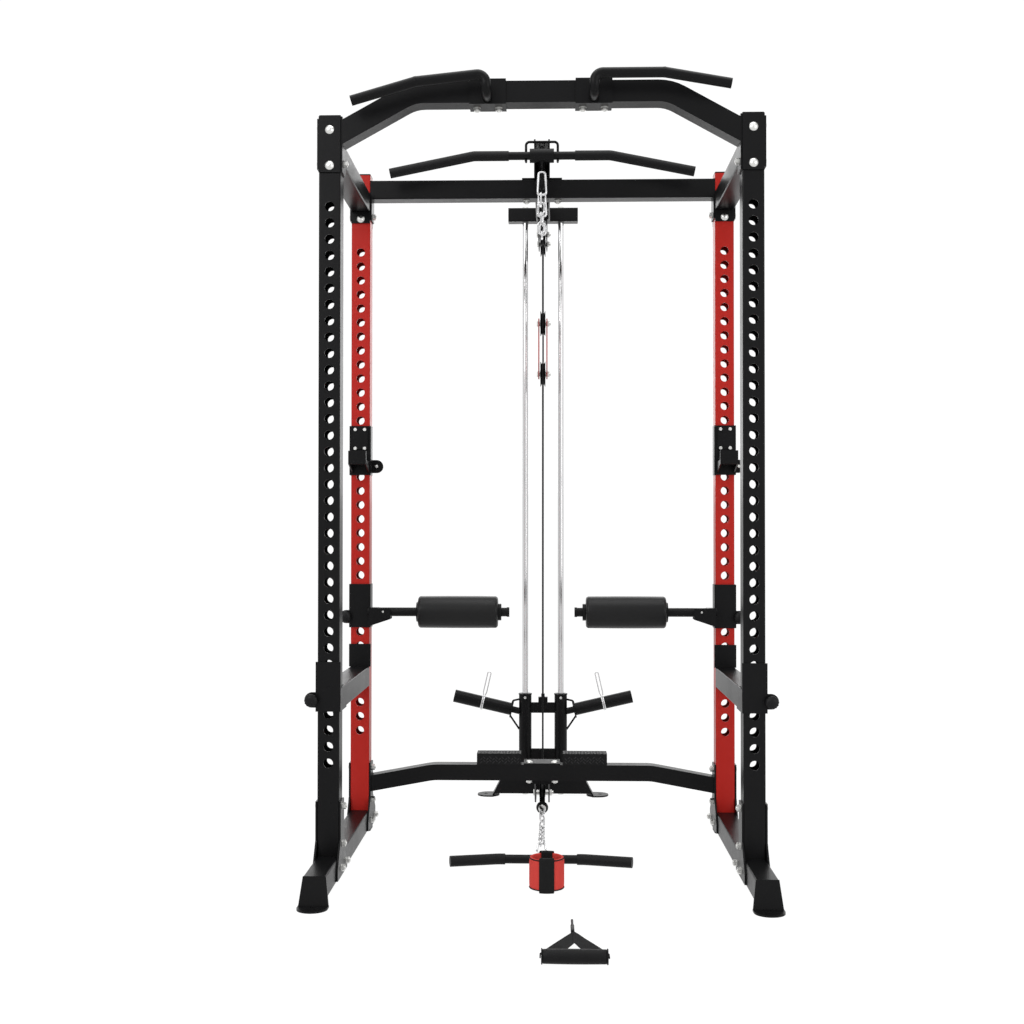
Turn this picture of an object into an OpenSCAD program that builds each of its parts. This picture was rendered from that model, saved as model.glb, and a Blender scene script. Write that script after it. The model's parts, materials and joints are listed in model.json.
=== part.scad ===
// Power cage with pull-up handles, a plate-loaded cable tower, adjustable
// hooks, safety bars, leg rollers and its loose cable attachments.
// X is across the cage, Y runs from the open front to the tower, Z is up.

/* [Cage frame] */
// Spacing of the left and right uprights, centre to centre
cage_w = 1162; // [1000:1:1300]
// Distance from the front of the front uprights to the front of the rear ones
cage_d = 617; // [560:1:760]
// Height of the upright tubes' tops above the floor
upright_top = 2108; // [2080:1:2300]
// Outside width of the square main tubes
tube = 60; // [60:1:66]
// Wall of the square tubes
tube_t = 3; // [2:0.5:4]
// Outside corner radius of the square tubes
tube_r = 4; // [3.5:0.5:6]
// Thickness of the bolted and welded plates
plate_t = 5; // [4:0.5:6]

/* [Upright holes] */
// Diameter of the holes in the uprights
hole_d = 26; // [20:0.5:28]
// Spacing of the holes
hole_pitch = 45; // [40:1:50]
// Number of holes in each upright
hole_count = 35; // [30:1:36]
// Height of the lowest hole
hole_first = 330; // [320:1:340]

/* [Base] */
// Height of the base rails' undersides
rail_z = 16; // [12:1:20]
// How far the base rails reach in front of the uprights
rail_front = 210; // [150:1:260]
// How far the base rails reach behind the rear uprights
rail_back = 63; // [60:1:80]
// Length of the front floor tabs
foot_tab = 60; // [55:1:80]
// Width of the front floor tabs
foot_w = 80; // [76:1:90]
// Diameter of the floor fixing holes
floor_hole = 12; // [10:0.5:14]

/* [Beams] */
// Height of the pull-up beam's top over the uprights' tops
arch_rise = 95; // [87:1:107]
// Slope of the front beam's ends
arch_slope = 29; // [25:1:31]
// Half length of the front beam's flat part
arch_flat = 361; // [330:1:380]
// Underside of the rear top beam below the uprights' tops
rear_beam_drop = 77; // [68:1:88]
// Underside of the side top beams below the uprights' tops
side_beam_drop = 119; // [114:1:122]
// Section of the low rear beam
low_beam = 50; // [46:1:54]
// Height of the low rear beam's top at its middle
low_beam_top = 222; // [216:1:226]
// Slope of the low rear beam's ends
low_beam_slope = 10.4; // [9:0.2:12]
// Half length of the low rear beam's flat part
low_beam_flat = 350; // [320:1:380]

/* [Fasteners] */
// Diameter of the frame bolts
bolt_d = 10; // [8:1:10]
// Diameter of the frame bolts' round heads
bolt_head_d = 24.6; // [20:0.2:26]
// Clearance of a bolt in its hole, on the diameter
bolt_gap = 0.4; // [0.2:0.1:1]

/* [Pull-up handles] */
// Diameter of the handle tubes
handle_d = 28; // [25:1:32]
// Distance of the handle brackets from the middle
handle_x = 146; // [130:1:200]
// Reach of the handles in front of the beam
handle_reach = 62; // [56:1:90]
// Height the handles rise by in their bend
handle_rise = 46; // [46:1:60]
// Extra roll of the left handle
handle_roll = 6; // [0:1:8]
// Width of the handle brackets
handle_bracket_w = 101; // [90:1:120]

/* [Cable tower] */
// Distance from the cage front to the guide rods
tower_y = 1275; // [1265:1:1320]
// Reach of the lat cable in front of the rear uprights
lat_lead = 52; // [50:1:60]
// Reach of the low pulley in front of the tower
low_pulley_lead = 410; // [400:1:420]
// Room between the front pulley's rim and the pulley arm's cap
arm_cap_gap = 1.5; // [1:0.5:6]
// Half spacing of the guide rods
rod_x = 65; // [60:1:72]
// Diameter of the guide rods
rod_d = 22; // [20:0.5:25]
// Length of the crossbar over the rods
crossbar_w = 255; // [220:1:280]
// Section of the crossbar and depth of the pulley arm
arm_h = 50; // [46:1:54]
// Underside of the tower's top bar below the uprights' tops
crossbar_drop = 6; // [-2:1:8]
// Height of the tower base's top
base_top = 73; // [66:1:80]

/* [Pulleys] */
// Outside diameter of the pulleys
pulley_d = 90; // [84:1:94]
// Width of the pulleys
pulley_w = 18; // [16:1:20]
// Radius of the cable's centre line on a pulley
wrap_r = 40; // [37:0.5:41]
// Diameter of the pulley bolts
axle_d = 12; // [10:1:14]
// Clearance of a pulley on its bolt, on the radius
axle_gap = 0.05; // [0.02:0.01:0.1]
// Diameter of the cables
cable_d = 6; // [4:0.5:7]
// Centre of the front pulley over the uprights' tops
front_pulley_rise = 44; // [40:1:48]
// Centres of the two pulleys under the arm below the uprights' tops
top_pulley_drop = 94; // [78:1:108]
// Height of the upper floating pulley's centre
float_z = 1711; // [1600:1:1800]
// Spacing of the two floating pulleys
float_pitch = 181.5; // [140:0.5:220]
// Height of the two low pulleys' centres
low_pulley_z = 88; // [84:1:96]
// Diameter of the cables' rubber stop balls
ball_d = 40; // [36:1:44]

/* [Weight carriage] */
// Outside diameter of the carriage columns
column_d = 46; // [42:0.5:50]
// Height of the carriage columns' lower ends at rest
carriage_z = 110; // [106:1:116]
// Height of the carriage from end to end
carriage_h = 262; // [250:1:290]
// Clearance of the carriage bushes on the rods, on the radius
bush_gap = 0.1; // [0.05:0.01:0.2]
// Outside diameter of the plate sleeves
sleeve_d = 46; // [44:0.5:49]
// Length of the plate sleeves
sleeve_len = 213; // [160:1:240]
// Upward tilt of the plate sleeves
sleeve_tilt = 13; // [8:1:16]

/* [Cage fittings] */
// Height of the upper edge of the hooks' plates
hook_top = 1302; // [1290:1:1320]
// Diameter of the foam leg rollers
roller_d = 102; // [90:1:110]
// Length of the foam leg rollers
roller_len = 252; // [220:1:270]
// Height of the leg roller bar
roller_z = 710; // [700:1:730]
// Diameter of the leg roller bar
roller_bar_d = 28; // [25:0.5:30]
// Height of the safety bars' undersides
safety_z = 472; // [465:1:480]
// Diameter of the pull knobs
knob_d = 36; // [32:1:38]

/* [Attachments] */
// Diameter of the steel bars of both cable bars
bar_d = 25.4; // [24:0.2:28]
// Diameter of their rubber grips
grip_d = 31; // [30:0.5:34]
// Wire of the chain links
link_wire = 5.5; // [5:0.25:6]
// Pitch of the chain links
link_pitch = 31; // [30:0.5:36]
// Outside width of the chain links
link_w = 25; // [24:0.5:26]
// Diameter of the loose handle's foam grip
loose_grip_d = 36; // [32:1:40]
// Outside radius of the ankle cuff
cuff_r = 50; // [45:1:55]
// Height of the ankle cuff
cuff_h = 89; // [80:1:100]

/* [Hidden] */
$fn = 48;

// The loose handle in front and the tower behind set the middle of the floor plan
loose_handle_y = -666;
tower_tab_w = 80;
cage_y = -(tower_y + tower_tab_w / 2 + loose_handle_y - loose_grip_d / 2) / 2;

rail_top = rail_z + tube;
arch_top = upright_top + arch_rise;
rear_beam_z = upright_top - rear_beam_drop;
side_beam_z = upright_top - side_beam_drop;
crossbar_z = upright_top - crossbar_drop;
front_pulley_z = upright_top + front_pulley_rise;
top_pulley_z = upright_top - top_pulley_drop;
half_w = cage_w / 2;
inner_x = half_w - tube / 2;
outer_x = half_w + tube / 2;
front_c = tube / 2;
rear_c = cage_d + tube / 2;
rear_back = cage_d + tube;
nut_h = 8;

// Frame bolts that run across, as [y, z], and those that run front to back, as [head y, z]
top_bolt_z = [upright_top - 25, upright_top - 124];
gusset_z = [209, 106];
gusset_low = [[-17, 43], [70, 43]];
cross_bolts = concat(
    [for (z = top_bolt_z) [front_c, z]],
    [[rear_c, rear_beam_z + tube / 2], [rear_c, side_beam_z - 10]],
    [for (c = [front_c, rear_c], z = gusset_z) [c, z]],
    [for (c = [front_c, rear_c], p = gusset_low) [c + p[0], p[1]]]);
front_bolts = [[-plate_t, side_beam_z + 82], [-plate_t, side_beam_z - 17],
    [cage_d - plate_t, side_beam_z - 22]];

module placed() translate([0, cage_y, 0]) children();

module mirrored() {
    children();
    mirror([1, 0, 0]) children();
}

// Extrusions whose outline is given in Y and Z, or in X and Z
module along_x(len) rotate([90, 0, 90]) linear_extrude(len) children();
module along_y(len) translate([0, len, 0]) rotate([90, 0, 0]) linear_extrude(len) children();

module rounded(w, h, r) {
    square([w - 2 * r, h], center = true);
    square([w, h - 2 * r], center = true);
    for (x = [-1, 1], y = [-1, 1]) translate([x * (w / 2 - r), y * (h / 2 - r)]) circle(r);
}

module hollow(w, h) difference() {
    rounded(w, h, tube_r);
    rounded(w - 2 * tube_t, h - 2 * tube_t, tube_r - tube_t + 0.5);
}

module strip(len, w) {
    square([len, w], center = true);
    for (s = [-1, 1]) translate([s * len / 2, 0]) circle(w / 2);
}

module ring(r_out, r_in, h) difference() {
    cylinder(r = r_out, h = h);
    translate([0, 0, -1]) cylinder(r = r_in, h = h + 2);
}

// A round bar along a list of points, with a true arc of radius bend at each corner
function unit(v) = v / norm(v);
function corner_turn(a, b, c) = acos(unit(b - a) * unit(c - b));
function corner_cut(path, i, bend) = (i == 0 || i == len(path) - 1) ? 0 :
    bend * tan(corner_turn(path[i - 1], path[i], path[i + 1]) / 2);

module aimed(p, dir) {
    z = unit(dir);
    x = abs(z[2]) > 0.9 ? unit(cross([0, 1, 0], z)) : unit(cross([0, 0, 1], z));
    y = cross(z, x);
    multmatrix([[x[0], y[0], z[0], p[0]], [x[1], y[1], z[1], p[1]], [x[2], y[2], z[2], p[2]],
        [0, 0, 0, 1]]) children();
}

module elbow(a, b, c, d, bend) {
    u = unit(b - a);
    v = unit(c - b);
    turn = acos(u * v);
    n = unit(v - u * (u * v));
    p = b - u * bend * tan(turn / 2) + n * bend;
    w = cross(-n, u);
    multmatrix([[-n[0], u[0], w[0], p[0]], [-n[1], u[1], w[1], p[1]], [-n[2], u[2], w[2], p[2]],
        [0, 0, 0, 1]])
        rotate_extrude(angle = turn) translate([bend, 0]) circle(d = d);
}

// Slim collars join each arc that doesn't turn a right angle to its neighbours
module bent_bar(path, d, bend) {
    for (i = [1:1:len(path) - 2])
        if (abs(corner_turn(path[i - 1], path[i], path[i + 1]) - 90) > 0.01) {
            cut = corner_cut(path, i, bend);
            for (next = [path[i - 1], path[i + 1]])
                aimed(path[i] + unit(next - path[i]) * cut, next - path[i])
                    cylinder(d = d + 0.1, h = 1, center = true);
        }
    for (i = [0:len(path) - 2]) {
        dir = unit(path[i + 1] - path[i]);
        start = path[i] + dir * corner_cut(path, i, bend);
        straight = norm(path[i + 1] - start) - corner_cut(path, i + 1, bend);
        if (straight > 0.01) aimed(start, dir) cylinder(d = d, h = straight);
    }
    for (i = [1:1:len(path) - 2]) elbow(path[i - 1], path[i], path[i + 1], d, bend);
}

// ---- Frame ----

module bolt_holes() {
    d = bolt_d + bolt_gap;
    mirrored() {
        for (b = cross_bolts) translate([inner_x - 20, b[0], b[1]]) rotate([0, 90, 0])
            cylinder(d = d, h = tube + 40);
        for (b = front_bolts) translate([half_w, b[0] - 1, b[1]]) rotate([-90, 0, 0])
            cylinder(d = d, h = tube + 3 * plate_t + 2);
    }
}

module upright() difference() {
    translate([half_w, 0, rail_top]) linear_extrude(upright_top - rail_top) hollow(tube, tube);
    for (i = [0:hole_count - 1]) translate([half_w, 0, hole_first + i * hole_pitch])
        rotate([90, 0, 0]) cylinder(d = hole_d, h = tube + 2, center = true);
}

module upright_pair(y, paint) placed() color(paint) difference() {
    mirrored() translate([0, y, 0]) upright();
    bolt_holes();
}

module front_uprights() upright_pair(front_c, "#242424");
module rear_uprights() upright_pair(rear_c, "#b6302a");

// Plug with a flat cover for the open end of a tube, the end at the origin facing +Z
module tube_cap() {
    linear_extrude(4) rounded(tube, tube, tube_r);
    plug = tube - 2 * tube_t - 0.6;
    translate([0, 0, -14]) linear_extrude(15) rounded(plug, plug, 2);
}

module end_caps() placed() color("#202020") mirrored() {
    for (y = [front_c, rear_c]) translate([half_w, y, upright_top]) tube_cap();
    end_y = rear_back + rail_back;
    translate([half_w, end_y, rail_z + tube / 2]) rotate([-90, 0, 0]) tube_cap();
    translate([half_w, end_y - 45, 0]) linear_extrude(rail_z) rounded(tube - 4, 70, 8);
}

module base_rails() placed() color("#242424") difference() {
    foot_top_y = -rail_front;
    foot_low_y = foot_top_y - 15;
    lean = atan2(foot_top_y - foot_low_y, rail_top);
    union() mirrored() {
        difference() {
            translate([half_w, foot_low_y, rail_z + tube / 2])
                along_y(rear_back + rail_back - foot_low_y) hollow(tube, tube);
            translate([half_w - tube, foot_top_y, rail_top]) rotate([90 - lean, 0, 0])
                translate([0, -2 * tube, 2]) cube([2 * tube, 3 * tube, tube]);
        }
        translate([half_w, foot_top_y, rail_top]) rotate([90 - lean, 0, 0])
            linear_extrude(plate_t) polygon([[-tube / 2, 0], [tube / 2, 0],
                [foot_w / 2 - 0.5, 2 - rail_top / cos(lean)],
                [0.5 - foot_w / 2, 2 - rail_top / cos(lean)]]);
        translate([half_w, foot_low_y, 0]) linear_extrude(plate_t) difference() {
            union() {
                translate([-foot_w / 2, -foot_tab + foot_w / 2])
                    square([foot_w, foot_tab - foot_w / 2]);
                translate([0, -foot_tab + foot_w / 2]) circle(foot_w / 2);
            }
            translate([0, -foot_tab + foot_w / 2]) circle(d = floor_hole);
        }
    }
    bolt_holes();
}

// Edge of a beam bent down at both ends, at depth d below its top edge
function arch_edge(d, top, flat, bend, slope, reach) =
    let (steps = 4,
        xc = flat - bend * tan(slope / 2),
        r = bend - d,
        arc = [for (i = [0:steps]) [xc + r * sin(slope * i / steps),
            top - bend + r * cos(slope * i / steps)]],
        low = arc[steps][1] - (reach - arc[steps][0]) * tan(slope))
    concat([[-reach, low]], [for (i = [steps:-1:0]) [-arc[i][0], arc[i][1]]], arc,
        [[reach, low]]);
function backwards(list) = [for (i = [len(list) - 1:-1:0]) list[i]];

module arch_beam(top, h, depth, flat, bend, slope, reach) difference() {
    along_y(depth) polygon(concat(arch_edge(0, top, flat, bend, slope, reach),
        backwards(arch_edge(h, top, flat, bend, slope, reach))));
    translate([0, tube_t, 0]) along_y(depth - 2 * tube_t)
        polygon(concat(arch_edge(tube_t, top, flat, bend, slope, reach + 1),
        backwards(arch_edge(h - tube_t, top, flat, bend, slope, reach + 1))));
}

module end_plates(y, z_low, z_high) mirrored() translate([inner_x - plate_t, y, z_low])
    cube([plate_t, tube, z_high - z_low]);

module front_top_beam() placed() color("#242424") difference() {
    union() {
        arch_beam(arch_top, tube, tube, arch_flat, 150, arch_slope, inner_x - plate_t);
        end_plates(0, top_bolt_z[1] - 29, upright_top);
    }
    bolt_holes();
    mirrored() handle_bolt_holes();
}

module rear_top_beam() placed() color("#242424") difference() {
    union() {
        translate([-inner_x + plate_t, rear_c, rear_beam_z + tube / 2])
            along_x(2 * (inner_x - plate_t)) hollow(tube, tube);
        end_plates(cage_d, side_beam_z - 25, rear_beam_z + tube);
    }
    bolt_holes();
    arm_bolt_holes();
}

module side_top_beams() placed() color("#242424") difference() {
    mirrored() {
        translate([half_w, tube + plate_t, side_beam_z + tube / 2])
            along_y(cage_d - tube - 2 * plate_t) hollow(tube, tube);
        translate([inner_x, tube, side_beam_z - 36]) cube([tube, plate_t, 140]);
        translate([inner_x, cage_d - plate_t, side_beam_z - 36])
            cube([tube, plate_t, tube + 38]);
    }
    bolt_holes();
}

// Corner plate on the upright and the base rail, its outline in Y and Z
module gusset(c) along_x(plate_t) polygon([[c - 30, 226], [c + 30, 226], [c + 30, 120],
    [c + 90, 66], [c + 90, 20], [c - 80, 20], [c - 80, 50], [c - 30, 120]]);

module rear_bottom_beam() placed() color("#242424") difference() {
    union() {
        translate([0, rear_c - low_beam / 2, 0]) arch_beam(low_beam_top, low_beam, low_beam,
            low_beam_flat, 200, low_beam_slope, inner_x - plate_t);
        mirrored() translate([inner_x - plate_t, 0, 0]) gusset(rear_c);
    }
    bolt_holes();
    tie_bolt_holes();
}

module clamp_plates() placed() color("#242424") difference() {
    mirrored() {
        translate([inner_x, -plate_t, side_beam_z - 36]) cube([tube, plate_t, 155]);
        translate([outer_x, 0, top_bolt_z[1] - 22]) cube([plate_t, tube, 140]);
        translate([outer_x, cage_d, side_beam_z - 28]) cube([plate_t, tube, 125]);
        translate([inner_x, rear_back, side_beam_z - 40]) cube([tube, plate_t, 40]);
        translate([outer_x, 0, 0]) gusset(front_c);
        translate([outer_x, 0, 0]) gusset(rear_c);
        translate([inner_x - plate_t, 0, 0]) gusset(front_c);
    }
    bolt_holes();
}

// A round-headed bolt pointing along +Z from its head's seat at the origin
module carriage_bolt(len) {
    head_h = 6;
    dome_r = (bolt_head_d * bolt_head_d / 4 + head_h * head_h) / (2 * head_h);
    intersection() {
        translate([0, 0, dome_r - head_h]) sphere(dome_r);
        translate([0, 0, -head_h]) cylinder(d = bolt_head_d, h = head_h);
    }
    cylinder(d = bolt_d, h = len);
}

module nut(d) {
    difference() {
        union() {
            cylinder(r = d, h = 1.6);
            translate([0, 0, 1.6]) cylinder(d = 1.9 * d, h = nut_h, $fn = 6);
        }
        translate([0, 0, -1]) cylinder(d = d + 0.2, h = nut_h + 4);
    }
}

grip = tube + 2 * plate_t;

module each_frame_bolt() {
    for (b = cross_bolts) translate([outer_x + plate_t, b[0], b[1]]) rotate([0, -90, 0])
        children();
    for (b = front_bolts) translate([half_w, b[0], b[1]]) rotate([-90, 0, 0]) children();
}

// A bolt with its nut, the grip being what lies between head and nut
module bolt_and_nut(grip) {
    carriage_bolt(grip + nut_h + 4);
    translate([0, 0, grip]) nut(bolt_d);
}

module frame_fasteners() placed() color("#c9c9c6") {
    mirrored() {
        each_frame_bolt() bolt_and_nut(grip);
        handle_bolts() bolt_and_nut(grip);
    }
    arm_bolts() bolt_and_nut(tube + plate_t);
    tie_bolts() bolt_and_nut(low_beam + plate_t);
    rod_bolts() {
        translate([0, 0, -1]) cylinder(d = axle_d - 2, h = 91);
        translate([0, 0, -7]) cylinder(d = 1.8 * axle_d, h = 7, $fn = 6);
    }
}

// ---- Pull-up handles ----

bracket_bolt_dx = 30;

module handle_bolts() for (s = [-1, 1])
    translate([handle_x + s * bracket_bolt_dx, front_c, arch_top + plate_t]) rotate([180, 0, 0])
        children();

module handle_bolt_holes() handle_bolts()
    translate([0, 0, -1]) cylinder(d = bolt_d + bolt_gap, h = tube + 3 * plate_t);

module pull_up_handle(roll) {
    stub_z = arch_top - 47;
    bend = handle_rise / 2;
    difference() {
        union() {
            translate([handle_x - handle_bracket_w / 2, -plate_t, arch_top - tube - plate_t])
                cube([handle_bracket_w, plate_t, tube + 2 * plate_t]);
            translate([handle_x - handle_bracket_w / 2, tube, arch_top - tube - plate_t])
                cube([handle_bracket_w, plate_t, tube + 2 * plate_t]);
            for (z = [arch_top, arch_top - tube - plate_t])
                translate([handle_x - handle_bracket_w / 2, 0, z])
                    cube([handle_bracket_w, tube, plate_t]);
        }
        handle_bolt_holes();
    }
    translate([handle_x, 0, stub_z]) rotate([0, roll, 0]) {
        bent_bar([[0, -plate_t + 1, 0], [0, -handle_reach, 0], [0, -handle_reach, handle_rise],
            [188, -handle_reach, handle_rise]], handle_d, bend);
        translate([188, -handle_reach, handle_rise]) {
            sphere(d = 1.03 * handle_d);
            rotate([0, 90 + atan(32 / 180), 0]) cylinder(d = handle_d, h = norm([180, 32]));
        }
    }
}

module pull_up_handle_right() placed() color("#242424") pull_up_handle(0);
module pull_up_handle_left() placed() color("#242424")
    mirror([1, 0, 0]) pull_up_handle(handle_roll);

// ---- Cable tower ----

drop_y = cage_d - lat_lead;
front_pulley_y = drop_y + wrap_r;
rear_pulley_y = tower_y - 5 * wrap_r;
float_y = tower_y - 3 * wrap_r;
lift_pulley_y = tower_y - wrap_r;
float_low_z = float_z - float_pitch;
arm_plate_x = arm_h / 2 - plate_t;
hanger_x = 12;
hanger_t = 4;
hanger_w = 30;
arm_top_z = front_pulley_z + pulley_d / 2 + arm_cap_gap;
saddle_w = 128;
saddle_bolt_x = 50;
arm_z = rear_beam_z + tube;
holder_x = 50;
lat_bar_y = drop_y - 30;
lat_bar_z = front_pulley_z - 8;

module arm_bolts() for (s = [-1, 1])
    translate([s * saddle_bolt_x, rear_c, arm_z + plate_t]) rotate([180, 0, 0]) children();

module arm_bolt_holes() arm_bolts()
    translate([0, 0, -1]) cylinder(d = bolt_d + bolt_gap, h = tube + 3 * plate_t);

module axle_hole(y, z, half) translate([-half - 1, y, z]) rotate([0, 90, 0])
    cylinder(d = axle_d + bolt_gap, h = 2 * half + 2);

module pulley_arm() placed() color("#242424") {
    difference() {
        union() {
            mirrored() {
                translate([arm_plate_x, 0, 0]) along_x(plate_t) polygon([
                    [front_pulley_y - 28, arm_z], [front_pulley_y - 28, arm_top_z],
                    [front_pulley_y + 44, arm_top_z], [rear_back + 12, crossbar_z + arm_h],
                    [tower_y - arm_h / 2, crossbar_z + arm_h], [tower_y - arm_h / 2, crossbar_z],
                    [rear_back + 7, crossbar_z], [rear_back, arm_z]]);
                for (y = [rear_pulley_y, lift_pulley_y - 2]) {
                    translate([hanger_x, y - hanger_w / 2, top_pulley_z - 24])
                        cube([hanger_t, hanger_w, crossbar_z + arm_h - top_pulley_z + 20]);
                    translate([hanger_x, y - hanger_w / 2, crossbar_z])
                        cube([arm_plate_x - hanger_x + 1, hanger_w, arm_h - 4]);
                }
            }
            translate([-arm_plate_x - plate_t, front_pulley_y - 28, arm_top_z])
                cube([arm_h, 72, 4]);
            translate([-arm_plate_x - 1, front_pulley_y + 47, arm_z])
                cube([2 * arm_plate_x + 2, 4, front_pulley_z + 6 - arm_z]);
            translate([-arm_plate_x - 1, tower_y - arm_h / 2 - plate_t, crossbar_z])
                cube([2 * arm_plate_x + 2, plate_t, arm_h]);
            translate([-saddle_w / 2, cage_d, arm_z]) cube([saddle_w, tube, plate_t]);
        }
        axle_hole(front_pulley_y, front_pulley_z, arm_h / 2);
        axle_hole(rear_pulley_y, top_pulley_z, arm_h / 2);
        axle_hole(lift_pulley_y, top_pulley_z, arm_h / 2);
        arm_bolt_holes();
        translate([0, lift_pulley_y, top_pulley_z]) rotate([0, 90, 0])
            cylinder(r = pulley_d / 2 + 4, h = 2 * hanger_x, center = true);
    }
    bar_holder();
}

// Rod bent into two hooks that hold the lat bar
module bar_holder() {
    rod = 8;
    y = lat_bar_y + bar_d / 2 + rod / 2 + 1;
    low = lat_bar_z - bar_d / 2 - rod / 2 - 0.3;
    top = arm_top_z - 6;
    tip = lat_bar_y - 10;
    bent_bar([[-holder_x, tip, low], [-holder_x, y, low], [-holder_x, y, top],
        [holder_x, y, top], [holder_x, y, low], [holder_x, tip, low]], rod, 11);
    mirrored() translate([arm_plate_x, y - 3, top - 8])
        cube([plate_t, front_pulley_y - 27 - y + 3, 16]);
}

module rod_bolts() {
    for (s = [-1, 1]) {
        translate([s * rod_x, tower_y, crossbar_z + arm_h]) rotate([180, 0, 0]) children();
        translate([s * rod_x, tower_y, base_low]) children();
    }
}

module rod_bolt_holes() rod_bolts()
    translate([0, 0, -1]) cylinder(d = axle_d - 2 + bolt_gap, h = 92);

module tower_crossbar() placed() color("#242424") difference() {
    translate([-crossbar_w / 2, tower_y, crossbar_z + arm_h / 2]) union() {
        along_x(crossbar_w) hollow(arm_h, arm_h);
        along_x(3) rounded(arm_h, arm_h, tube_r);
        translate([crossbar_w - 3, 0, 0]) along_x(3) rounded(arm_h, arm_h, tube_r);
    }
    rod_bolt_holes();
}

module guide_rods() placed() color("#d8d8d8") difference() {
    for (s = [-1, 1]) translate([s * rod_x, tower_y, base_top])
        cylinder(d = rod_d, h = crossbar_z - base_top);
    rod_bolt_holes();
}

module rod_bumpers() placed() color("#1c1c1c") for (s = [-1, 1])
    translate([s * rod_x, tower_y, base_top])
        ring(column_d / 2 - 1, rod_d / 2 + 0.3, carriage_z - base_top - 0.3);

base_low = 11;
base_depth = 60;
base_half = 142;
base_flare = 33;
tab_x = 209;

module tower_base() placed() color("#242424") difference() {
    low_half = base_half + base_flare;
    end = base_half + base_flare * base_top / (base_top - base_low);
    union() {
        translate([0, tower_y - base_depth / 2, 0]) difference() {
            mirrored() along_y(base_depth) polygon([[-1, base_low], [low_half, base_low],
                [end, 0], [tab_x, 0], [tab_x, plate_t], [end + 3, plate_t],
                [base_half + 6, base_top], [-1, base_top]]);
            translate([0, 4, 0]) along_y(base_depth - 8)
                polygon([[-base_half + 5, base_top - 4], [base_half - 5, base_top - 4],
                [low_half - 9, base_low + 4], [-low_half + 9, base_low + 4]]);
        }
        mirrored() translate([tab_x - 10, tower_y, 0]) {
            translate([-20, -tower_tab_w / 2, 0]) cube([20, tower_tab_w, plate_t]);
            cylinder(r = tower_tab_w / 2, h = plate_t);
        }
    }
    rod_bolt_holes();
    mirrored() translate([tab_x, tower_y, -1]) cylinder(d = floor_hole, h = plate_t + 2);
}

low_pulley_y = tower_y - low_pulley_lead;
tie_saddle_d = 82;
tie_bolt_x = 41;
tie_front = rear_c + low_beam / 2;
anchor_y = tower_y - 2 * wrap_r;
anchor_z = 84;

module tie_bolts() for (s = [-1, 1])
    translate([s * tie_bolt_x, rear_c, low_beam_top + plate_t]) rotate([180, 0, 0]) children();

module tie_bolt_holes() tie_bolts()
    translate([0, 0, -1]) cylinder(d = bolt_d + bolt_gap, h = low_beam + 3 * plate_t);

module tower_tie() placed() color("#242424") difference() {
    union() {
        translate([-46 - 12, rear_c - low_beam / 2, low_beam_top])
            cube([116, tie_saddle_d, plate_t]);
        translate([-46, tie_front, low_beam_top - 70]) cube([92, plate_t, 70]);
        mirrored() translate([arm_plate_x, 0, 0]) along_x(plate_t) polygon([
            [tie_front, low_beam_top], [tie_front + 32, low_beam_top],
            [tower_y - base_depth / 2 - 50, 124], [tower_y - base_depth / 2, base_top],
            [tower_y - base_depth / 2, 20], [rear_pulley_y, 56], [low_pulley_y - 34, 62],
            [tie_front, low_beam_top - 62]]);
        translate([-arm_plate_x - 1, anchor_y - 8, anchor_z]) cube([2 * arm_plate_x + 2, 16, 20]);
    }
    for (y = [low_pulley_y, rear_pulley_y]) axle_hole(y, low_pulley_z, arm_h / 2);
    tie_bolt_holes();
}

module foot_plates() placed() color("#242424") mirrored()
    translate([saddle_w / 2 + 3, rear_c - low_beam / 2 - 2, low_beam_top]) difference() {
        cube([140, 62, 36]);
        translate([-1, 3, -1]) cube([142, 56, 34]);
    }

module pulley(y, z) placed() color("#1a1a1a") translate([0, y, z]) rotate([0, 90, 0])
    rotate_extrude() polygon([[axle_d / 2 + axle_gap, -pulley_w / 2 - 1],
        [14, -pulley_w / 2 - 1], [15, -6], [30, -6], [31, -pulley_w / 2],
        [pulley_d / 2, -pulley_w / 2], [pulley_d / 2, -pulley_w / 2 + 1],
        [wrap_r - cable_d / 2 - 0.3, -cable_d / 2 - 0.6],
        [wrap_r - cable_d / 2 - 0.3, cable_d / 2 + 0.6], [pulley_d / 2, pulley_w / 2 - 1],
        [pulley_d / 2, pulley_w / 2], [31, pulley_w / 2], [30, 6], [15, 6],
        [14, pulley_w / 2 + 1], [axle_d / 2 + axle_gap, pulley_w / 2 + 1]]);

module front_pulley() pulley(front_pulley_y, front_pulley_z);
module rear_top_pulley() pulley(rear_pulley_y, top_pulley_z);
module lift_pulley() pulley(lift_pulley_y, top_pulley_z);
module floating_pulley_upper() pulley(float_y, float_z);
module floating_pulley_lower() pulley(float_y, float_low_z);
module base_pulley() pulley(rear_pulley_y, low_pulley_z);
module low_pulley() pulley(low_pulley_y, low_pulley_z);

// A pulley's bolt with its spacers and nut, across plates that reach from inner to outer
module pulley_bolt(y, z, inner, outer) translate([0, y, z]) rotate([0, 90, 0]) {
    translate([0, 0, -outer - 5]) cylinder(d = 1.7 * axle_d, h = 5, $fn = 6);
    translate([0, 0, -outer]) cylinder(d = axle_d, h = 2 * outer + 12);
    translate([0, 0, outer]) cylinder(d = 1.7 * axle_d, h = 7, $fn = 6);
    gap = inner - pulley_w / 2 - 1.3;
    for (s = [-1, 1]) translate([0, 0, s * (inner - gap / 2)])
        cylinder(d = axle_d + 6, h = gap, center = true);
}

float_plate_x = 12.5;

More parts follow.
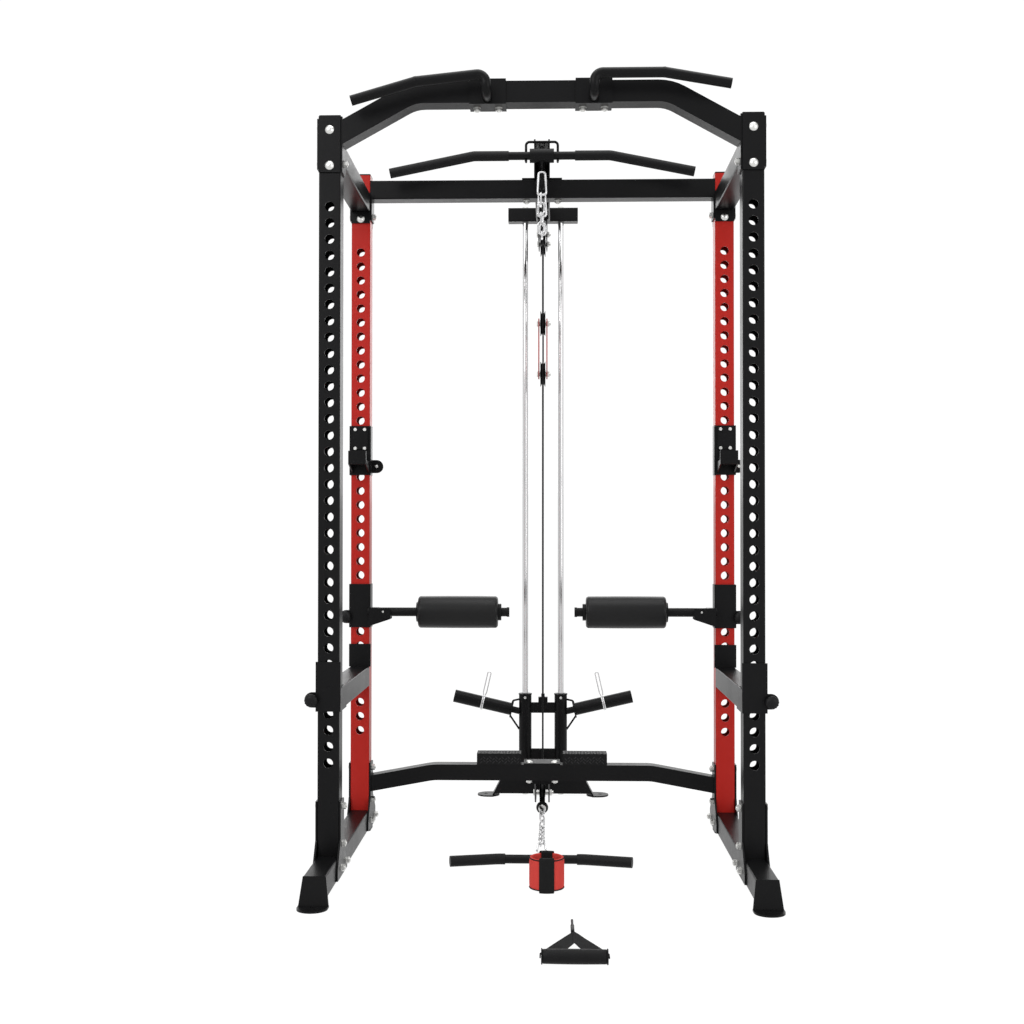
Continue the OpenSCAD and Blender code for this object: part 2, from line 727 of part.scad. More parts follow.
module pulley_bolts() placed() color("#c9c9c6") {
    pulley_bolt(front_pulley_y, front_pulley_z, arm_plate_x, arm_h / 2);
    pulley_bolt(rear_pulley_y, top_pulley_z, hanger_x, hanger_x + hanger_t);
    pulley_bolt(lift_pulley_y, top_pulley_z, hanger_x, hanger_x + hanger_t);
    for (z = [float_z, float_low_z])
        pulley_bolt(float_y, z, float_plate_x, float_plate_x + hanger_t);
    for (y = [low_pulley_y, rear_pulley_y])
        pulley_bolt(y, low_pulley_z, arm_plate_x, arm_h / 2);
}

module floating_plates() placed() color("#b6302a") difference() {
    mirrored() translate([float_plate_x, float_y, float_z - float_pitch / 2])
        rotate([0, 90, 0]) linear_extrude(hanger_t) strip(float_pitch, 37);
    for (z = [float_z, float_low_z]) axle_hole(float_y, z, float_plate_x + hanger_t);
}

// ---- Cables ----

ball_z = front_pulley_z - 87;
row_ball_y = low_pulley_y - 50;
lug_top = carriage_z + carriage_h - 13;
cable_end_z = lug_top + 12;
run_slope = atan2(top_pulley_z - front_pulley_z, rear_pulley_y - front_pulley_y);
function over_line(y) = front_pulley_z + wrap_r / cos(run_slope)
    + (y - front_pulley_y) * tan(run_slope);

module cables() placed() color("#151515") {
    bent_bar([[0, drop_y, front_pulley_z], [0, drop_y, over_line(drop_y)],
        [0, rear_pulley_y + wrap_r, over_line(rear_pulley_y + wrap_r)],
        [0, rear_pulley_y + wrap_r, float_z - wrap_r], [0, anchor_y, float_z - wrap_r],
        [0, anchor_y, top_pulley_z + wrap_r], [0, tower_y, top_pulley_z + wrap_r],
        [0, tower_y, top_pulley_z]], cable_d, wrap_r);
    bent_bar([[0, row_ball_y + ball_d / 2 - 1, low_pulley_z - wrap_r],
        [0, rear_pulley_y + wrap_r, low_pulley_z - wrap_r],
        [0, rear_pulley_y + wrap_r, float_low_z + wrap_r],
        [0, anchor_y, float_low_z + wrap_r], [0, anchor_y, anchor_z + 20]],
        cable_d, wrap_r);
}

module cable_drop() placed() color("#151515") translate([0, drop_y, ball_z + ball_d / 2 - 1])
    cylinder(d = cable_d, h = front_pulley_z - ball_z - ball_d / 2 + 0.4);

module cable_lift() placed() color("#151515") translate([0, tower_y, cable_end_z])
    cylinder(d = cable_d, h = top_pulley_z - cable_end_z);

eye_wire = 5;
eye_r = 11;
eye_drop = 10;

// Rubber ball with the cable's steel eye below it, the eye's hole along X
module stop_ball() {
    difference() {
        sphere(d = ball_d);
        translate([0, 0, ball_d / 2 - 1]) cylinder(d = cable_d, h = 3);
    }
    translate([0, 0, -ball_d / 2 - eye_drop]) rotate([0, 90, 0]) rotate_extrude()
        translate([eye_r, 0]) circle(d = eye_wire);
}

module lat_stop_ball() placed() color("#1a1a1a") translate([0, drop_y, ball_z]) stop_ball();
module row_stop_ball() placed() color("#1a1a1a")
    translate([0, row_ball_y, row_ring_z]) rotate([-90, 0, 0]) rotate([0, 0, -45])
    stop_ball();

// A link's centre is at the origin, its length along Z and its flat face along X
link_half = (link_pitch + link_wire) / 2;
link_slack = 0.4;

module link() {
    r = (link_w - link_wire) / 2;
    bent_bar([[r, 0, 0], [r, 0, link_half], [-r, 0, link_half], [-r, 0, -link_half],
        [r, 0, -link_half], [r, 0, 0]], link_wire, r);
}

// Pear-shaped spring hook, its narrow end's wire at the origin and the rest below
clip_wire = 7;
clip_len = 70;
module snap_hook() bent_bar([[0, 0, 0], [-10, 0, 0], [-14, 0, -clip_len],
    [14, 0, -clip_len], [10, 0, 0], [0, 0, 0]], clip_wire, 8);

clip_hold = (clip_wire + link_wire) / 2 + 1;
link_step = link_pitch - link_slack;

// The chain hangs doubled, one end hooked in the ball's eye and the longer end just under the lat bar's
back_links = 2;
front_links = 4;
strand_x = 3;
strand_y = 8.5;
hook_y = 3.8;
lean = 6.3;

module lat_chain() placed() color("#d4d4d4")
    translate([0, drop_y, ball_z - ball_d / 2 - eye_drop - 2.5]) {
        splay = asin((strand_y - hook_y) / clip_len);
        first = -clip_len * cos(splay) + clip_hold - link_half;
        last = first - (back_links - 1) * link_step;
        grip = link_half - link_wire / 2;
        translate([0, hook_y, 0]) rotate([splay, 0, 0]) snap_hook();
        for (i = [0:back_links - 1]) translate([strand_x, strand_y, first - i * link_step])
            rotate([0, 0, i % 2 == 0 ? 90 : 0]) link();
        translate([0, -strand_y, last - grip]) rotate([lean, 0, 0]) {
            for (i = [0:front_links - 1]) translate([-strand_x, 0, grip + i * link_step])
                rotate([0, 0, i % 2 == 0 ? 0 : 90]) link();
            translate([0, 0, grip + (front_links - 1) * link_step + link_half - clip_hold + clip_len])
                snap_hook();
        }
        translate([0, 0, last - link_half - 2.2]) rotate([0, 0, 90]) rotate([0, 90, 0]) link();
    }

// The low chain falls to the floor over its first links and lies there on edge
row_links = 11;
row_fall = 3;
row_ring_y = row_ball_y - ball_d / 2 - eye_drop - eye_r + eye_wire / 2;
row_ring_z = low_pulley_z - wrap_r;
lie_z = (link_w - link_wire) / 2 * sin(45) + link_wire / 2;
fall = asin((row_ring_z - lie_z) / (row_fall * link_step));
function row_pin(k) = k <= row_fall
    ? [row_ring_y - k * link_step * cos(fall), row_ring_z - k * link_step * sin(fall)]
    : row_pin(row_fall) - [(k - row_fall) * link_step, 0];

module row_chain() placed() color("#d4d4d4") {
    for (i = [0:row_links - 1]) {
        middle = (row_pin(i) + row_pin(i + 1)) / 2;
        twist = 6 * max(0, i - row_links + 5);
        roll = (i % 2 == 0 ? 45 : -45) + twist;
        translate([0, middle[0], middle[1] + twist / 9])
            rotate([90 + (i < row_fall ? fall : 0), 0, 0]) rotate([0, 0, roll]) link();
    }
    tail = row_pin(row_links)[0] - (link_wire + link_slack) / 2 + clip_hold;
    tail_z = lie_z + 2;
    translate([0, tail, tail_z])
        rotate([-90 + asin((tail_z - clip_wire / 2 - 0.2) / clip_len), 0, 0]) snap_hook();
}

// ---- Weight carriage ----

column_low = carriage_z + 4;
column_top = carriage_z + carriage_h - 4;
horn_x = rod_x + column_d / 2;
horn_z = carriage_z + 197;
horn_bar = 24;

// Along a plate sleeve: Z points out of the sleeve, the origin is on the column's side
module on_horn() translate([horn_x - 2, tower_y, horn_z]) rotate([0, 90 - sleeve_tilt, 0])
    children();
horn_gap = 32;

// Where a spring clip sits along a sleeve, and the slight step just outside it
clip_at = 104;
clip_shoulder = 116;

module weight_carriage() placed() color("#242424") difference() {
    union() {
        for (s = [-1, 1]) translate([s * rod_x, tower_y, column_low])
            cylinder(d = column_d, h = column_top - column_low);
        for (z = [carriage_z + 22, carriage_z + 191]) translate([-rod_x + 12, tower_y - 6, z])
            cube([2 * rod_x - 24, 12, 38]);
        translate([-17, tower_y - 9, carriage_z + 229]) cube([34, 18, lug_top - carriage_z - 229]);
        translate([0, tower_y, lug_top]) cylinder(d = 13, h = cable_end_z - lug_top);
        mirrored() {
            on_horn() {
                cylinder(d = horn_bar, h = horn_gap + sleeve_len);
                translate([0, 0, horn_gap - 5]) cylinder(d = 62, h = 5);
                translate([0, 0, horn_gap]) cylinder(d = sleeve_d - 1, h = clip_shoulder + 1);
                translate([0, 0, horn_gap + clip_shoulder])
                    cylinder(d = sleeve_d, h = sleeve_len - clip_shoulder);
            }
            bent_bar([[horn_x - 1, tower_y, horn_z + 43], [horn_x + 22, tower_y, horn_z + 38],
                [horn_x + 26, tower_y, horn_z + 20]], 7, 8);
            bent_bar([[horn_x - 1, tower_y, horn_z - 66], [horn_x + 33, tower_y, horn_z - 16]],
                7, 8);
        }
    }
    for (s = [-1, 1]) translate([s * rod_x, tower_y, column_low - 1])
        cylinder(d = column_d - 8, h = column_top - column_low + 2);
}

module carriage_bushes() placed() color("#3a3a3a") for (s = [-1, 1], end = [0, 1])
    translate([s * rod_x, tower_y, end == 0 ? column_low : column_top])
        mirror([0, 0, 1 - end]) difference() {
            union() {
                cylinder(d = column_d + 3, h = 4);
                translate([0, 0, -34]) cylinder(d = column_d - 8, h = 34);
            }
            translate([0, 0, -35]) cylinder(d = rod_d + 2 * bush_gap, h = 40);
        }

module spring_clip() on_horn() translate([0, 0, horn_gap + clip_at]) {
    wire = 5;
    r = sleeve_d / 2 + wire / 2 + 0.3;
    pitch = wire + 0.5;
    loop_w = 12;
    for (z = [0, pitch]) translate([0, 0, z]) rotate_extrude() translate([r, 0])
        circle(d = wire);
    bent_bar([[-r, 0, 0], [-r - 14, 0, -loop_w / 2 + pitch / 2],
        [-r - 88, 0, -loop_w / 2 + pitch / 2], [-r - 88, 0, loop_w / 2 + pitch / 2],
        [-r - 14, 0, loop_w / 2 + pitch / 2], [-r, 0, pitch]], wire - 0.4, loop_w / 2);
}

module spring_clip_right() placed() color("#d8d8d8") spring_clip();
module spring_clip_left() placed() color("#d8d8d8") mirror([1, 0, 0]) spring_clip();

// ---- Cable bars ----

hub_d = 44;
hub_len = 76;

// Half of a bar's bent centre line as distances out from the middle, then drop
lat_knee = 214;
lat_reach = 474;
lat_drop = 52;
grip_start = 104;

function lat_line(s) = [[0, lat_bar_y, lat_bar_z], [s * lat_knee, lat_bar_y, lat_bar_z],
    [s * lat_reach, lat_bar_y, lat_bar_z - lat_drop]];

module lat_bar() placed() color("#202020") {
    for (s = [-1, 1]) bent_bar(lat_line(s), bar_d, 60);
    translate([-hub_len / 2, lat_bar_y, lat_bar_z]) rotate([0, 90, 0])
        cylinder(d = hub_d, h = hub_len);
    translate([-4, lat_bar_y, lat_bar_z - hub_d / 2]) along_x(8) difference() {
        union() {
            translate([0, -8]) circle(10);
            translate([-10, -8]) square([20, 12]);
        }
        translate([0, -9]) circle(5);
    }
}

module lat_bar_grips() placed() color("#1a1a1a") for (s = [-1, 1]) difference() {
    line = lat_line(s);
    union() {
        bent_bar([[s * grip_start, lat_bar_y, lat_bar_z], line[1],
            line[2] + 4 * unit(line[2] - line[1])], grip_d, 60);
    }
    bent_bar(line, bar_d + 0.2, 60);
}

row_bar_y = 239;
row_knee = 125;
row_reach = 258;
row_bow = 32;
function row_line(s) = [[0, row_bar_y, grip_d / 2], [s * row_knee, row_bar_y, grip_d / 2],
    [s * row_reach, row_bar_y - row_bow, grip_d / 2]];

module row_bar() placed() color("#202020") {
    for (s = [-1, 1]) bent_bar(row_line(s), bar_d, 60);
}

module row_bar_grips() placed() color("#1a1a1a") for (s = [-1, 1]) difference() {
    line = row_line(s);
    bent_bar([[s * grip_start, row_bar_y, grip_d / 2], line[1],
        line[2] + 4 * unit(line[2] - line[1])], grip_d, 60);
    bent_bar(line, bar_d + 0.2, 60);
}

// ---- Hooks, rollers and safety bars ----

// Pull knob on its pin: the ear's front face is at the origin, the knob towards -Z
module pull_knob() {
    cylinder(d = 10, h = 26, center = true);
    translate([0, 0, -22]) cylinder(d = knob_d, h = 9);
    translate([0, 0, -26]) cylinder(d = knob_d - 12, h = 5);
}

ear_x = 44;
hook_ear_x = 48;
ear_r = 21;
ear_t = 6;

module ear(x, y, z) translate([0, y, z]) difference() {
    along_y(ear_t) union() {
        translate([x, 0]) circle(ear_r);
        translate([tube / 2, -ear_r]) square([x - tube / 2, 2 * ear_r]);
    }
    translate([x, -1, 0]) rotate([-90, 0, 0]) cylinder(d = 10.2, h = ear_t + 2);
}

hook_plate_h = 157;
hook_pin_z = hook_top - 128;
hook_lip_y = cage_d - 90;
peg_d = 24;

// A channel round the front of an upright, centred on x = 0, with a peg in one hole; its
// sides reach side_h up
module channel(y, z, h, depth, peg_z, side_h) {
    gap = 0.4;
    side = tube / 2 + gap;
    translate([-side - 4, y - plate_t - gap, z]) cube([2 * side + 8, plate_t, h]);
    for (s = [-1, 1]) translate([s > 0 ? side : -side - 4, y - gap, z])
        cube([4, depth, side_h]);
    translate([0, y - gap - 1, peg_z]) rotate([-90, 0, 0]) cylinder(d = peg_d, h = 26);
}

function hole_near(z) = hole_first + hole_pitch * round((z - hole_first) / hole_pitch);

module j_hook() {
    y = cage_d - plate_t - 0.4;
    cradle = hook_top - 126;
    difference() {
        union() {
            channel(cage_d, hook_top - hook_plate_h, hook_plate_h, 36, hole_near(hook_top - 70),
                hook_plate_h);
            translate([-26, hook_lip_y, cradle]) cube([56, y - hook_lip_y + 1, 8]);
            translate([-26, hook_lip_y, cradle]) cube([56, 8, 42]);
            for (x = [-26, 26]) translate([x, 0, 0]) along_x(4) polygon([
                [hook_lip_y, cradle], [hook_lip_y, cradle + 12], [y + 1, cradle + 12],
                [y + 1, cradle - 26]]);
            ear(hook_ear_x, cage_d + 34, hook_pin_z);
        }
        translate([tube / 2 - 8, cage_d, hook_pin_z - ear_r - 1]) cube([8.3, 60, 2 * ear_r + 2]);
    }
    translate([-25, y - 6, hook_top - 74]) cube([50, 6, 70]);
    for (x = [-15, 15], z = [12, 72]) translate([x, y - 6, hook_top - z]) rotate([90, 0, 0])
        cylinder(d = 10, h = 2.5);
}

module j_hook_left() placed() color("#1c1c1c") translate([-half_w, 0, 0]) j_hook();
module j_hook_right() placed() color("#1c1c1c") translate([half_w, 0, 0]) j_hook();

module j_hook_pin() translate([hook_ear_x, cage_d + 34 + ear_t, hook_pin_z]) rotate([90, 0, 0])
    pull_knob();
module j_hook_pin_left() placed() color("#c9c9c6") translate([-half_w, 0, 0]) j_hook_pin();
module j_hook_pin_right() placed() color("#c9c9c6") translate([half_w, 0, 0]) j_hook_pin();

roller_y = cage_d - 28;
roller_in = 139;
bar_end = 105;

// Drawn for the right upright, mirrored for the left one
module roller_bracket() {
    translate([half_w, 0, 0]) {
        channel(cage_d, roller_z - 51, 138, 44, hole_near(roller_z + 20), 138);
        ear(ear_x, cage_d - plate_t - 1.4, roller_z - 17);
    }
    translate([bar_end, roller_y, roller_z]) rotate([0, 90, 0])
        cylinder(d = roller_bar_d, h = inner_x - bar_end);
    for (y = [cage_d - plate_t - 4, roller_y - roller_bar_d / 2 - plate_t + 2]) difference() {
        translate([0, y, 0]) along_y(plate_t) polygon([
            [inner_x - 4, roller_z + 14], [inner_x - 30, roller_z + 14],
            [inner_x - 73, roller_z - 12], [inner_x - 73, roller_z - 22],
            [inner_x - 4, roller_z - 45]]);
        if (y < roller_y) translate([inner_x - 36, y - 1, roller_z - 2]) rotate([-90, 0, 0])
            cylinder(d = 8, h = 4);
    }
    translate([inner_x - 30, roller_y, roller_z - 14]) cube([26, 24, 28]);
    translate([0, roller_y, roller_z]) rotate([0, 90, 0]) {
        translate([0, 0, roller_in + roller_len + 0.5]) cylinder(d = 62, h = 5);
        translate([0, 0, roller_in - 10.5]) cylinder(d = 53, h = 10);
        translate([0, 0, bar_end - 2]) cylinder(d = roller_bar_d + 3, h = 8);
    }
}

module roller_bracket_right() placed() color("#242424") roller_bracket();
module roller_bracket_left() placed() color("#242424") mirror([1, 0, 0]) roller_bracket();

module knob_at_ear(y, z) translate([half_w + ear_x, y, z]) rotate([-90, 0, 0]) pull_knob();

module roller_knob() knob_at_ear(cage_d - plate_t - 1.4, roller_z - 17);
module roller_knob_right() placed() color("#1c1c1c") roller_knob();
module roller_knob_left() placed() color("#1c1c1c") mirror([1, 0, 0]) roller_knob();

module leg_roller() translate([0, roller_y, roller_z]) rotate([0, 90, 0]) {
    translate([0, 0, roller_in]) difference() {
        union() {
            translate([0, 0, 6]) cylinder(d = roller_d, h = roller_len - 12);
            cylinder(d = roller_d - 12, h = roller_len);
        }
        translate([0, 0, -1]) cylinder(d = roller_bar_d + 0.1, h = roller_len + 2);
    }
}

module leg_roller_right() placed() color("#232323") leg_roller();
module leg_roller_left() placed() color("#232323") mirror([1, 0, 0]) leg_roller();

module safety_bar() {
    translate([half_w, 0, 0]) {
        channel(0, safety_z, 136, tube + 44, hole_near(safety_z + 60), tube + 4);
        translate([0, tube + 40, safety_z + tube / 2 + 1]) along_y(cage_d - tube - 41 - plate_t)
            hollow(tube + 2, tube + 2);
        channel(cage_d, safety_z + tube + 2, 72, 4, hole_near(safety_z + 100), 72);
        translate([-tube / 2, cage_d - plate_t - 1, safety_z]) cube([tube, plate_t, tube + 4]);
        ear(ear_x, -plate_t - 1.4, safety_z + 32);
    }
}

module safety_bar_right() placed() color("#242424") safety_bar();
module safety_bar_left() placed() color("#242424") mirror([1, 0, 0]) safety_bar();
module safety_knob() knob_at_ear(-plate_t - 1.4, safety_z + 32);
module safety_knob_right() placed() color("#1c1c1c") safety_knob();
module safety_knob_left() placed() color("#1c1c1c") mirror([1, 0, 0]) safety_knob();

// ---- Loose handle and ankle cuff ----

loose_x = 81;
loose_len = 150;
grip_bore = 9;

module d_handle_grip() placed() color("#1c1c1c")
    translate([loose_x - loose_len / 2, loose_handle_y, loose_grip_d / 2]) rotate([0, 90, 0])
    ring(loose_grip_d / 2, grip_bore, loose_len);

// Webbing laid flat as a triangle, one side of it threaded through the grip
module d_handle_strap() placed() color("#161616") {
    translate([loose_x, loose_handle_y, loose_grip_d / 2 - 2]) linear_extrude(4) difference() {
        end = loose_len / 2 + 0.3;
        half = grip_bore - 0.6;
        clear = loose_grip_d / 2 + 1;
        polygon([[-end - 3, -half], [-end - 3, 12], [-7, 186], [7, 186], [end + 3, 12],
            [end + 3, -half]]);
        polygon([[-end, half], [-end, clear], [-30, clear], [0, 104], [30, clear],
            [end, clear], [end, half]]);
    }
    translate([loose_x - 1.5, loose_handle_y + 185.3, loose_grip_d / 2]) rotate([-90, 0, 0]) {
        cylinder(d = 9, h = 54);
        translate([0, 0, 53]) cylinder(d = 6, h = 48);
    }
}

cuff_x = 17;
cuff_y = -30;

module ankle_cuff() placed() color("#c83c3c") translate([cuff_x, cuff_y, 0])
    ring(cuff_r, cuff_r - 9, cuff_h);

front_uprights();
rear_uprights();
end_caps();
base_rails();
front_top_beam();
rear_top_beam();
side_top_beams();
rear_bottom_beam();
clamp_plates();
frame_fasteners();
pull_up_handle_left();
pull_up_handle_right();
pulley_arm();
tower_crossbar();
guide_rods();
rod_bumpers();
tower_base();
tower_tie();
foot_plates();
floating_plates();
pulley_bolts();
cables();
lat_stop_ball();
cable_drop();
cable_lift();
lat_chain();
row_stop_ball();
row_chain();
front_pulley();
rear_top_pulley();
lift_pulley();
floating_pulley_upper();
floating_pulley_lower();
base_pulley();
low_pulley();
weight_carriage();
carriage_bushes();
spring_clip_left();
spring_clip_right();
lat_bar();
lat_bar_grips();
row_bar();
row_bar_grips();
j_hook_left();
j_hook_right();
j_hook_pin_left();
j_hook_pin_right();
roller_bracket_left();
roller_bracket_right();
roller_knob_left();
roller_knob_right();
leg_roller_left();
leg_roller_right();
safety_bar_left();
safety_bar_right();
safety_knob_left();
safety_knob_right();
d_handle_grip();
d_handle_strap();
ankle_cuff();
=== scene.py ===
import json
import math

import bmesh
import bpy
import numpy as np
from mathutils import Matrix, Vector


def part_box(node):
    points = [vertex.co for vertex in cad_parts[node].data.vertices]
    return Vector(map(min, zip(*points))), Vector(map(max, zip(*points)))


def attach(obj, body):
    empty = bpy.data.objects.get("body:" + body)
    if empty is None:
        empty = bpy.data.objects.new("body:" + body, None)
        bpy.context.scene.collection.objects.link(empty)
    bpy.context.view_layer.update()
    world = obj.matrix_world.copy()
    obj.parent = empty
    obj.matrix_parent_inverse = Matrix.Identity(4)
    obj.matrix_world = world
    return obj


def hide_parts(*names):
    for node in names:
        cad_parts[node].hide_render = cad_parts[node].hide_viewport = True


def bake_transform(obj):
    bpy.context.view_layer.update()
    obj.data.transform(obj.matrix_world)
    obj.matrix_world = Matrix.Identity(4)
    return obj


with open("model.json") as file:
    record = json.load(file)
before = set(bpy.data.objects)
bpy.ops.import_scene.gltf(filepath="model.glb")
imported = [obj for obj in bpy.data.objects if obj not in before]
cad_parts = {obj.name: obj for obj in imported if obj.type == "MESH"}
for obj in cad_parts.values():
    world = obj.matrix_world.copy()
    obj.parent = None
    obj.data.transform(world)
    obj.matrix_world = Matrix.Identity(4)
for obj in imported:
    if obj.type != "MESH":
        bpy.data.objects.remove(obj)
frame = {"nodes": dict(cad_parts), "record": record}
nodes = frame["nodes"]
scene = bpy.context.scene
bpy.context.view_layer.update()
print("frame loaded:", len(nodes), "cad nodes")

# camera
cameraSetup = {"place": (0.02606, -4.01874, 0.96598), "pitch": 0.81, "roll": -0.033, "yaw": 1.611,
               "lens": 47.65, "sensor": 36.0, "reach": 60}


def makeCamera(s):
    # level and facing +Y, then raised by the pitch, turned by the yaw and tipped by the roll, in degrees
    data = bpy.data.cameras.new("camera")
    data.lens = s["lens"]
    data.sensor_width = s["sensor"]
    data.clip_end = s["reach"]
    obj = bpy.data.objects.new("camera", data)
    scene.collection.objects.link(obj)
    obj.location = s["place"]
    obj.rotation_euler = (math.radians(90 + s["pitch"]), math.radians(s["roll"]), math.radians(s["yaw"]))
    scene.camera = obj


makeCamera(cameraSetup)
scene.view_settings.view_transform = "Standard"


# shader building
# a node's output; arithmetic on it adds Math nodes
class Sock:
    def __init__(self, tree, out):
        self.tree = tree
        self.out = out

    def calc(self, op, a, b):
        return self.tree.add("ShaderNodeMath", {"operation": op}, {0: a, 1: b})

    def __add__(self, o):
        return self.calc("ADD", self, o)

    def __mul__(self, o):
        return self.calc("MULTIPLY", self, o)

    def __sub__(self, o):
        return self.calc("SUBTRACT", self, o)

    def __rsub__(self, o):
        return self.calc("SUBTRACT", o, self)

    __radd__ = __add__
    __rmul__ = __mul__

    def sine(self):
        return self.tree.add("ShaderNodeMath", {"operation": "SINE"}, {0: self})

    def step(self, low, high):
        # 0 up to low, 1 from high on, and a smooth rise between
        return self.tree.add("ShaderNodeMapRange", {"interpolation_type": "SMOOTHSTEP"},
                             {"Value": self, "From Min": low, "From Max": high})

    def other(self, name):
        # another output of the same node
        return Sock(self.tree, self.out.node.outputs[name])


# the node tree of a material or a world, emptied; all its nodes are added by one method
class Finish:
    def __init__(self, owner):
        owner.use_nodes = True
        self.owner = owner
        self.tree = owner.node_tree
        self.tree.nodes.clear()

    def add(self, kind, settings=None, values=None, out=0):
        node = self.tree.nodes.new(kind)
        for key, value in (settings or {}).items():
            setattr(node, key, value)
        for key, value in (values or {}).items():
            if isinstance(value, Sock):
                self.tree.links.new(value.out, node.inputs[key])
            else:
                node.inputs[key].default_value = value
        return Sock(self, node.outputs[out]) if len(node.outputs) else None

    def place(self, scale=(1, 1, 1)):
        # Object coordinates, which are metres from the origin, stretched by the scale
        coords = self.add("ShaderNodeTexCoord", out="Object")
        return self.add("ShaderNodeMapping", {}, {"Vector": coords, "Scale": scale})

    def noise(self, scale, detail=3.0, rough=0.55, stretch=(1, 1, 1)):
        return self.add("ShaderNodeTexNoise", {}, {"Vector": self.place(stretch), "Scale": scale,
                                                   "Detail": detail, "Roughness": rough})

    def cells(self, scale):
        return self.add("ShaderNodeTexVoronoi", {}, {"Vector": self.place(), "Scale": scale})

    def blendColors(self, amount, a, b):
        # colour a where the amount is 0, colour b where it is 1
        return self.add("ShaderNodeMix", {"data_type": "RGBA"}, {0: amount, 6: (*a, 1), 7: (*b, 1)}, out=2)

    def bump(self, height, strength, distance):
        return self.add("ShaderNodeBump", {}, {"Height": height, "Strength": strength,
                                               "Distance": distance})

    def surface(self, **values):
        keys = {"color": "Base Color", "rough": "Roughness", "metal": "Metallic", "normal": "Normal",
                "specular": "Specular IOR Level"}
        shader = self.add("ShaderNodeBsdfPrincipled", {}, {keys[k]: v for k, v in values.items()})
        self.add("ShaderNodeOutputMaterial", {}, {"Surface": shader})
        return self.owner


def material(name):
    # a new material with an empty node tree
    return Finish(bpy.data.materials.new(name))


def powderCoat(name, deep, light, rough, gloss):
    # fine orange peel, slow drift of tone, a few rubbed patches
    f = material(name)
    drift = f.noise(5.0, 2.0)
    peel = f.noise(420.0, 2.0, 0.5)
    grain = f.noise(1500.0, 1.0, 0.5)
    rub = f.noise(38.0, 5.0, 0.62).step(0.56, 0.74)
    color = f.blendColors(drift * 0.8 + grain * 0.2, deep, light)
    return f.surface(color=color, rough=rub * -0.07 + drift * 0.1 + (rough - 0.05),
                     normal=f.bump(peel * 0.7 + grain * 0.3, 0.32, 0.0004), specular=gloss)


def platedSteel(name, tone, rough, streak, wear):
    # fine brushing with spots of duller plating, as strong as the wear
    f = material(name)
    brushed = f.noise(60.0, 3.0, 0.6, stretch=streak)
    dull = f.noise(45.0, 4.0)
    color = f.blendColors(dull.step(0.35, 0.75), tuple((1 - 0.14 * wear) * t for t in tone), tone)
    return f.surface(color=color, metal=1.0, rough=brushed * 0.12 * wear + dull * 0.1 * wear
                     + (rough - 0.1 * wear), normal=f.bump(brushed, 0.12 * wear, 0.0002))


def mouldedPlastic(name, tone, rough):
    # fine spark-eroded texture
    f = material(name)
    pits = f.cells(1300.0)
    drift = f.noise(14.0, 2.0)
    color = f.blendColors(drift, tone, tuple(1.6 * t + 0.002 for t in tone))
    return f.surface(color=color, rough=drift * 0.12 + (rough - 0.06),
                     normal=f.bump(pits, 0.25, 0.0003), specular=0.15)


def foamRubber(name, tone, rough, pore, gloss, relief):
    # closed skin with small open pores and soft mottling
    f = material(name)
    pores = f.cells(pore)
    mottle = f.noise(22.0, 4.0)
    fine = f.noise(pore * 1.6, 2.0)
    color = f.blendColors(mottle * 0.7 + fine * 0.3, tone, tuple(1.7 * t + 0.003 for t in tone))
    return f.surface(color=color, rough=mottle * 0.12 + (rough - 0.06),
                     normal=f.bump(pores * 0.6 + fine * 0.4, relief, 0.0006), specular=gloss)


def woven(name, tone, pale, pitch):
    # plain weave: sin(pi x / pitch) times sin(pi z / pitch), threads one over the other in turn
    f = material(name)
    x = f.add("ShaderNodeSeparateXYZ", {}, {0: f.place((1 / pitch, 1 / pitch, 1 / pitch))})
    weave = (x * math.pi).sine() * (x.other("Z") * math.pi).sine() * 0.5 + 0.5
    fuzz = f.noise(900.0, 3.0)
    color = f.blendColors(weave * 0.6 + fuzz * 0.4, tone, pale)
    return f.surface(color=color, rough=0.78 + fuzz * 0.12,
                     normal=f.bump(weave * 0.8 + fuzz * 0.2, 0.5, 0.0006), specular=0.15)


def bareCable(name):
    # dark plastic jacket over wire strands that show through as a fine twist
    f = material(name)
    twist = f.add("ShaderNodeTexWave", {"wave_type": "BANDS", "bands_direction": "DIAGONAL"},
                  {"Vector": f.place(), "Scale": 90.0, "Distortion": 0.4})
    drift = f.noise(30.0, 2.0)
    color = f.blendColors(drift, (0.003, 0.003, 0.0033), (0.006, 0.006, 0.0065))
    return f.surface(color=color, rough=drift * 0.1 + 0.38,
                     normal=f.bump(twist, 0.25, 0.0003), specular=0.12)


finishes = {
    "black_paint": powderCoat("blackPowderCoat", (0.0036, 0.0036, 0.004), (0.0068, 0.0068, 0.0072),
                              0.34, 0.105),
    "red_paint": powderCoat("redPowderCoat", (0.365, 0.0125, 0.0085), (0.42, 0.019, 0.0135), 0.34, 0.14),
    "zinc": platedSteel("zincPlate", (0.72, 0.72, 0.70), 0.32, (1, 1, 6), 1.0),
    "chrome": platedSteel("chromePlate", (0.62, 0.62, 0.625), 0.09, (4, 4, 0.2), 0.08),
    "black_plastic": mouldedPlastic("blackPlastic", (0.0035, 0.0035, 0.0038), 0.42),
    "rubber": foamRubber("blackRubber", (0.003, 0.003, 0.0033), 0.5, 700.0, 0.13, 0.4),
    "webbing": woven("blackWebbing", (0.003, 0.003, 0.003), (0.012, 0.012, 0.0125), 0.0022),
    "red_fabric": woven("redFabric", (0.50, 0.035, 0.03), (0.66, 0.075, 0.06), 0.0018),
}
foam = foamRubber("rollerFoam", (0.0022, 0.0022, 0.0024), 0.36, 140.0, 0.22, 0.05)
tread = foamRubber("treadRubber", (0.006, 0.006, 0.0065), 0.36, 900.0, 0.3, 0.15)
cableFinish = bareCable("cableJacket")

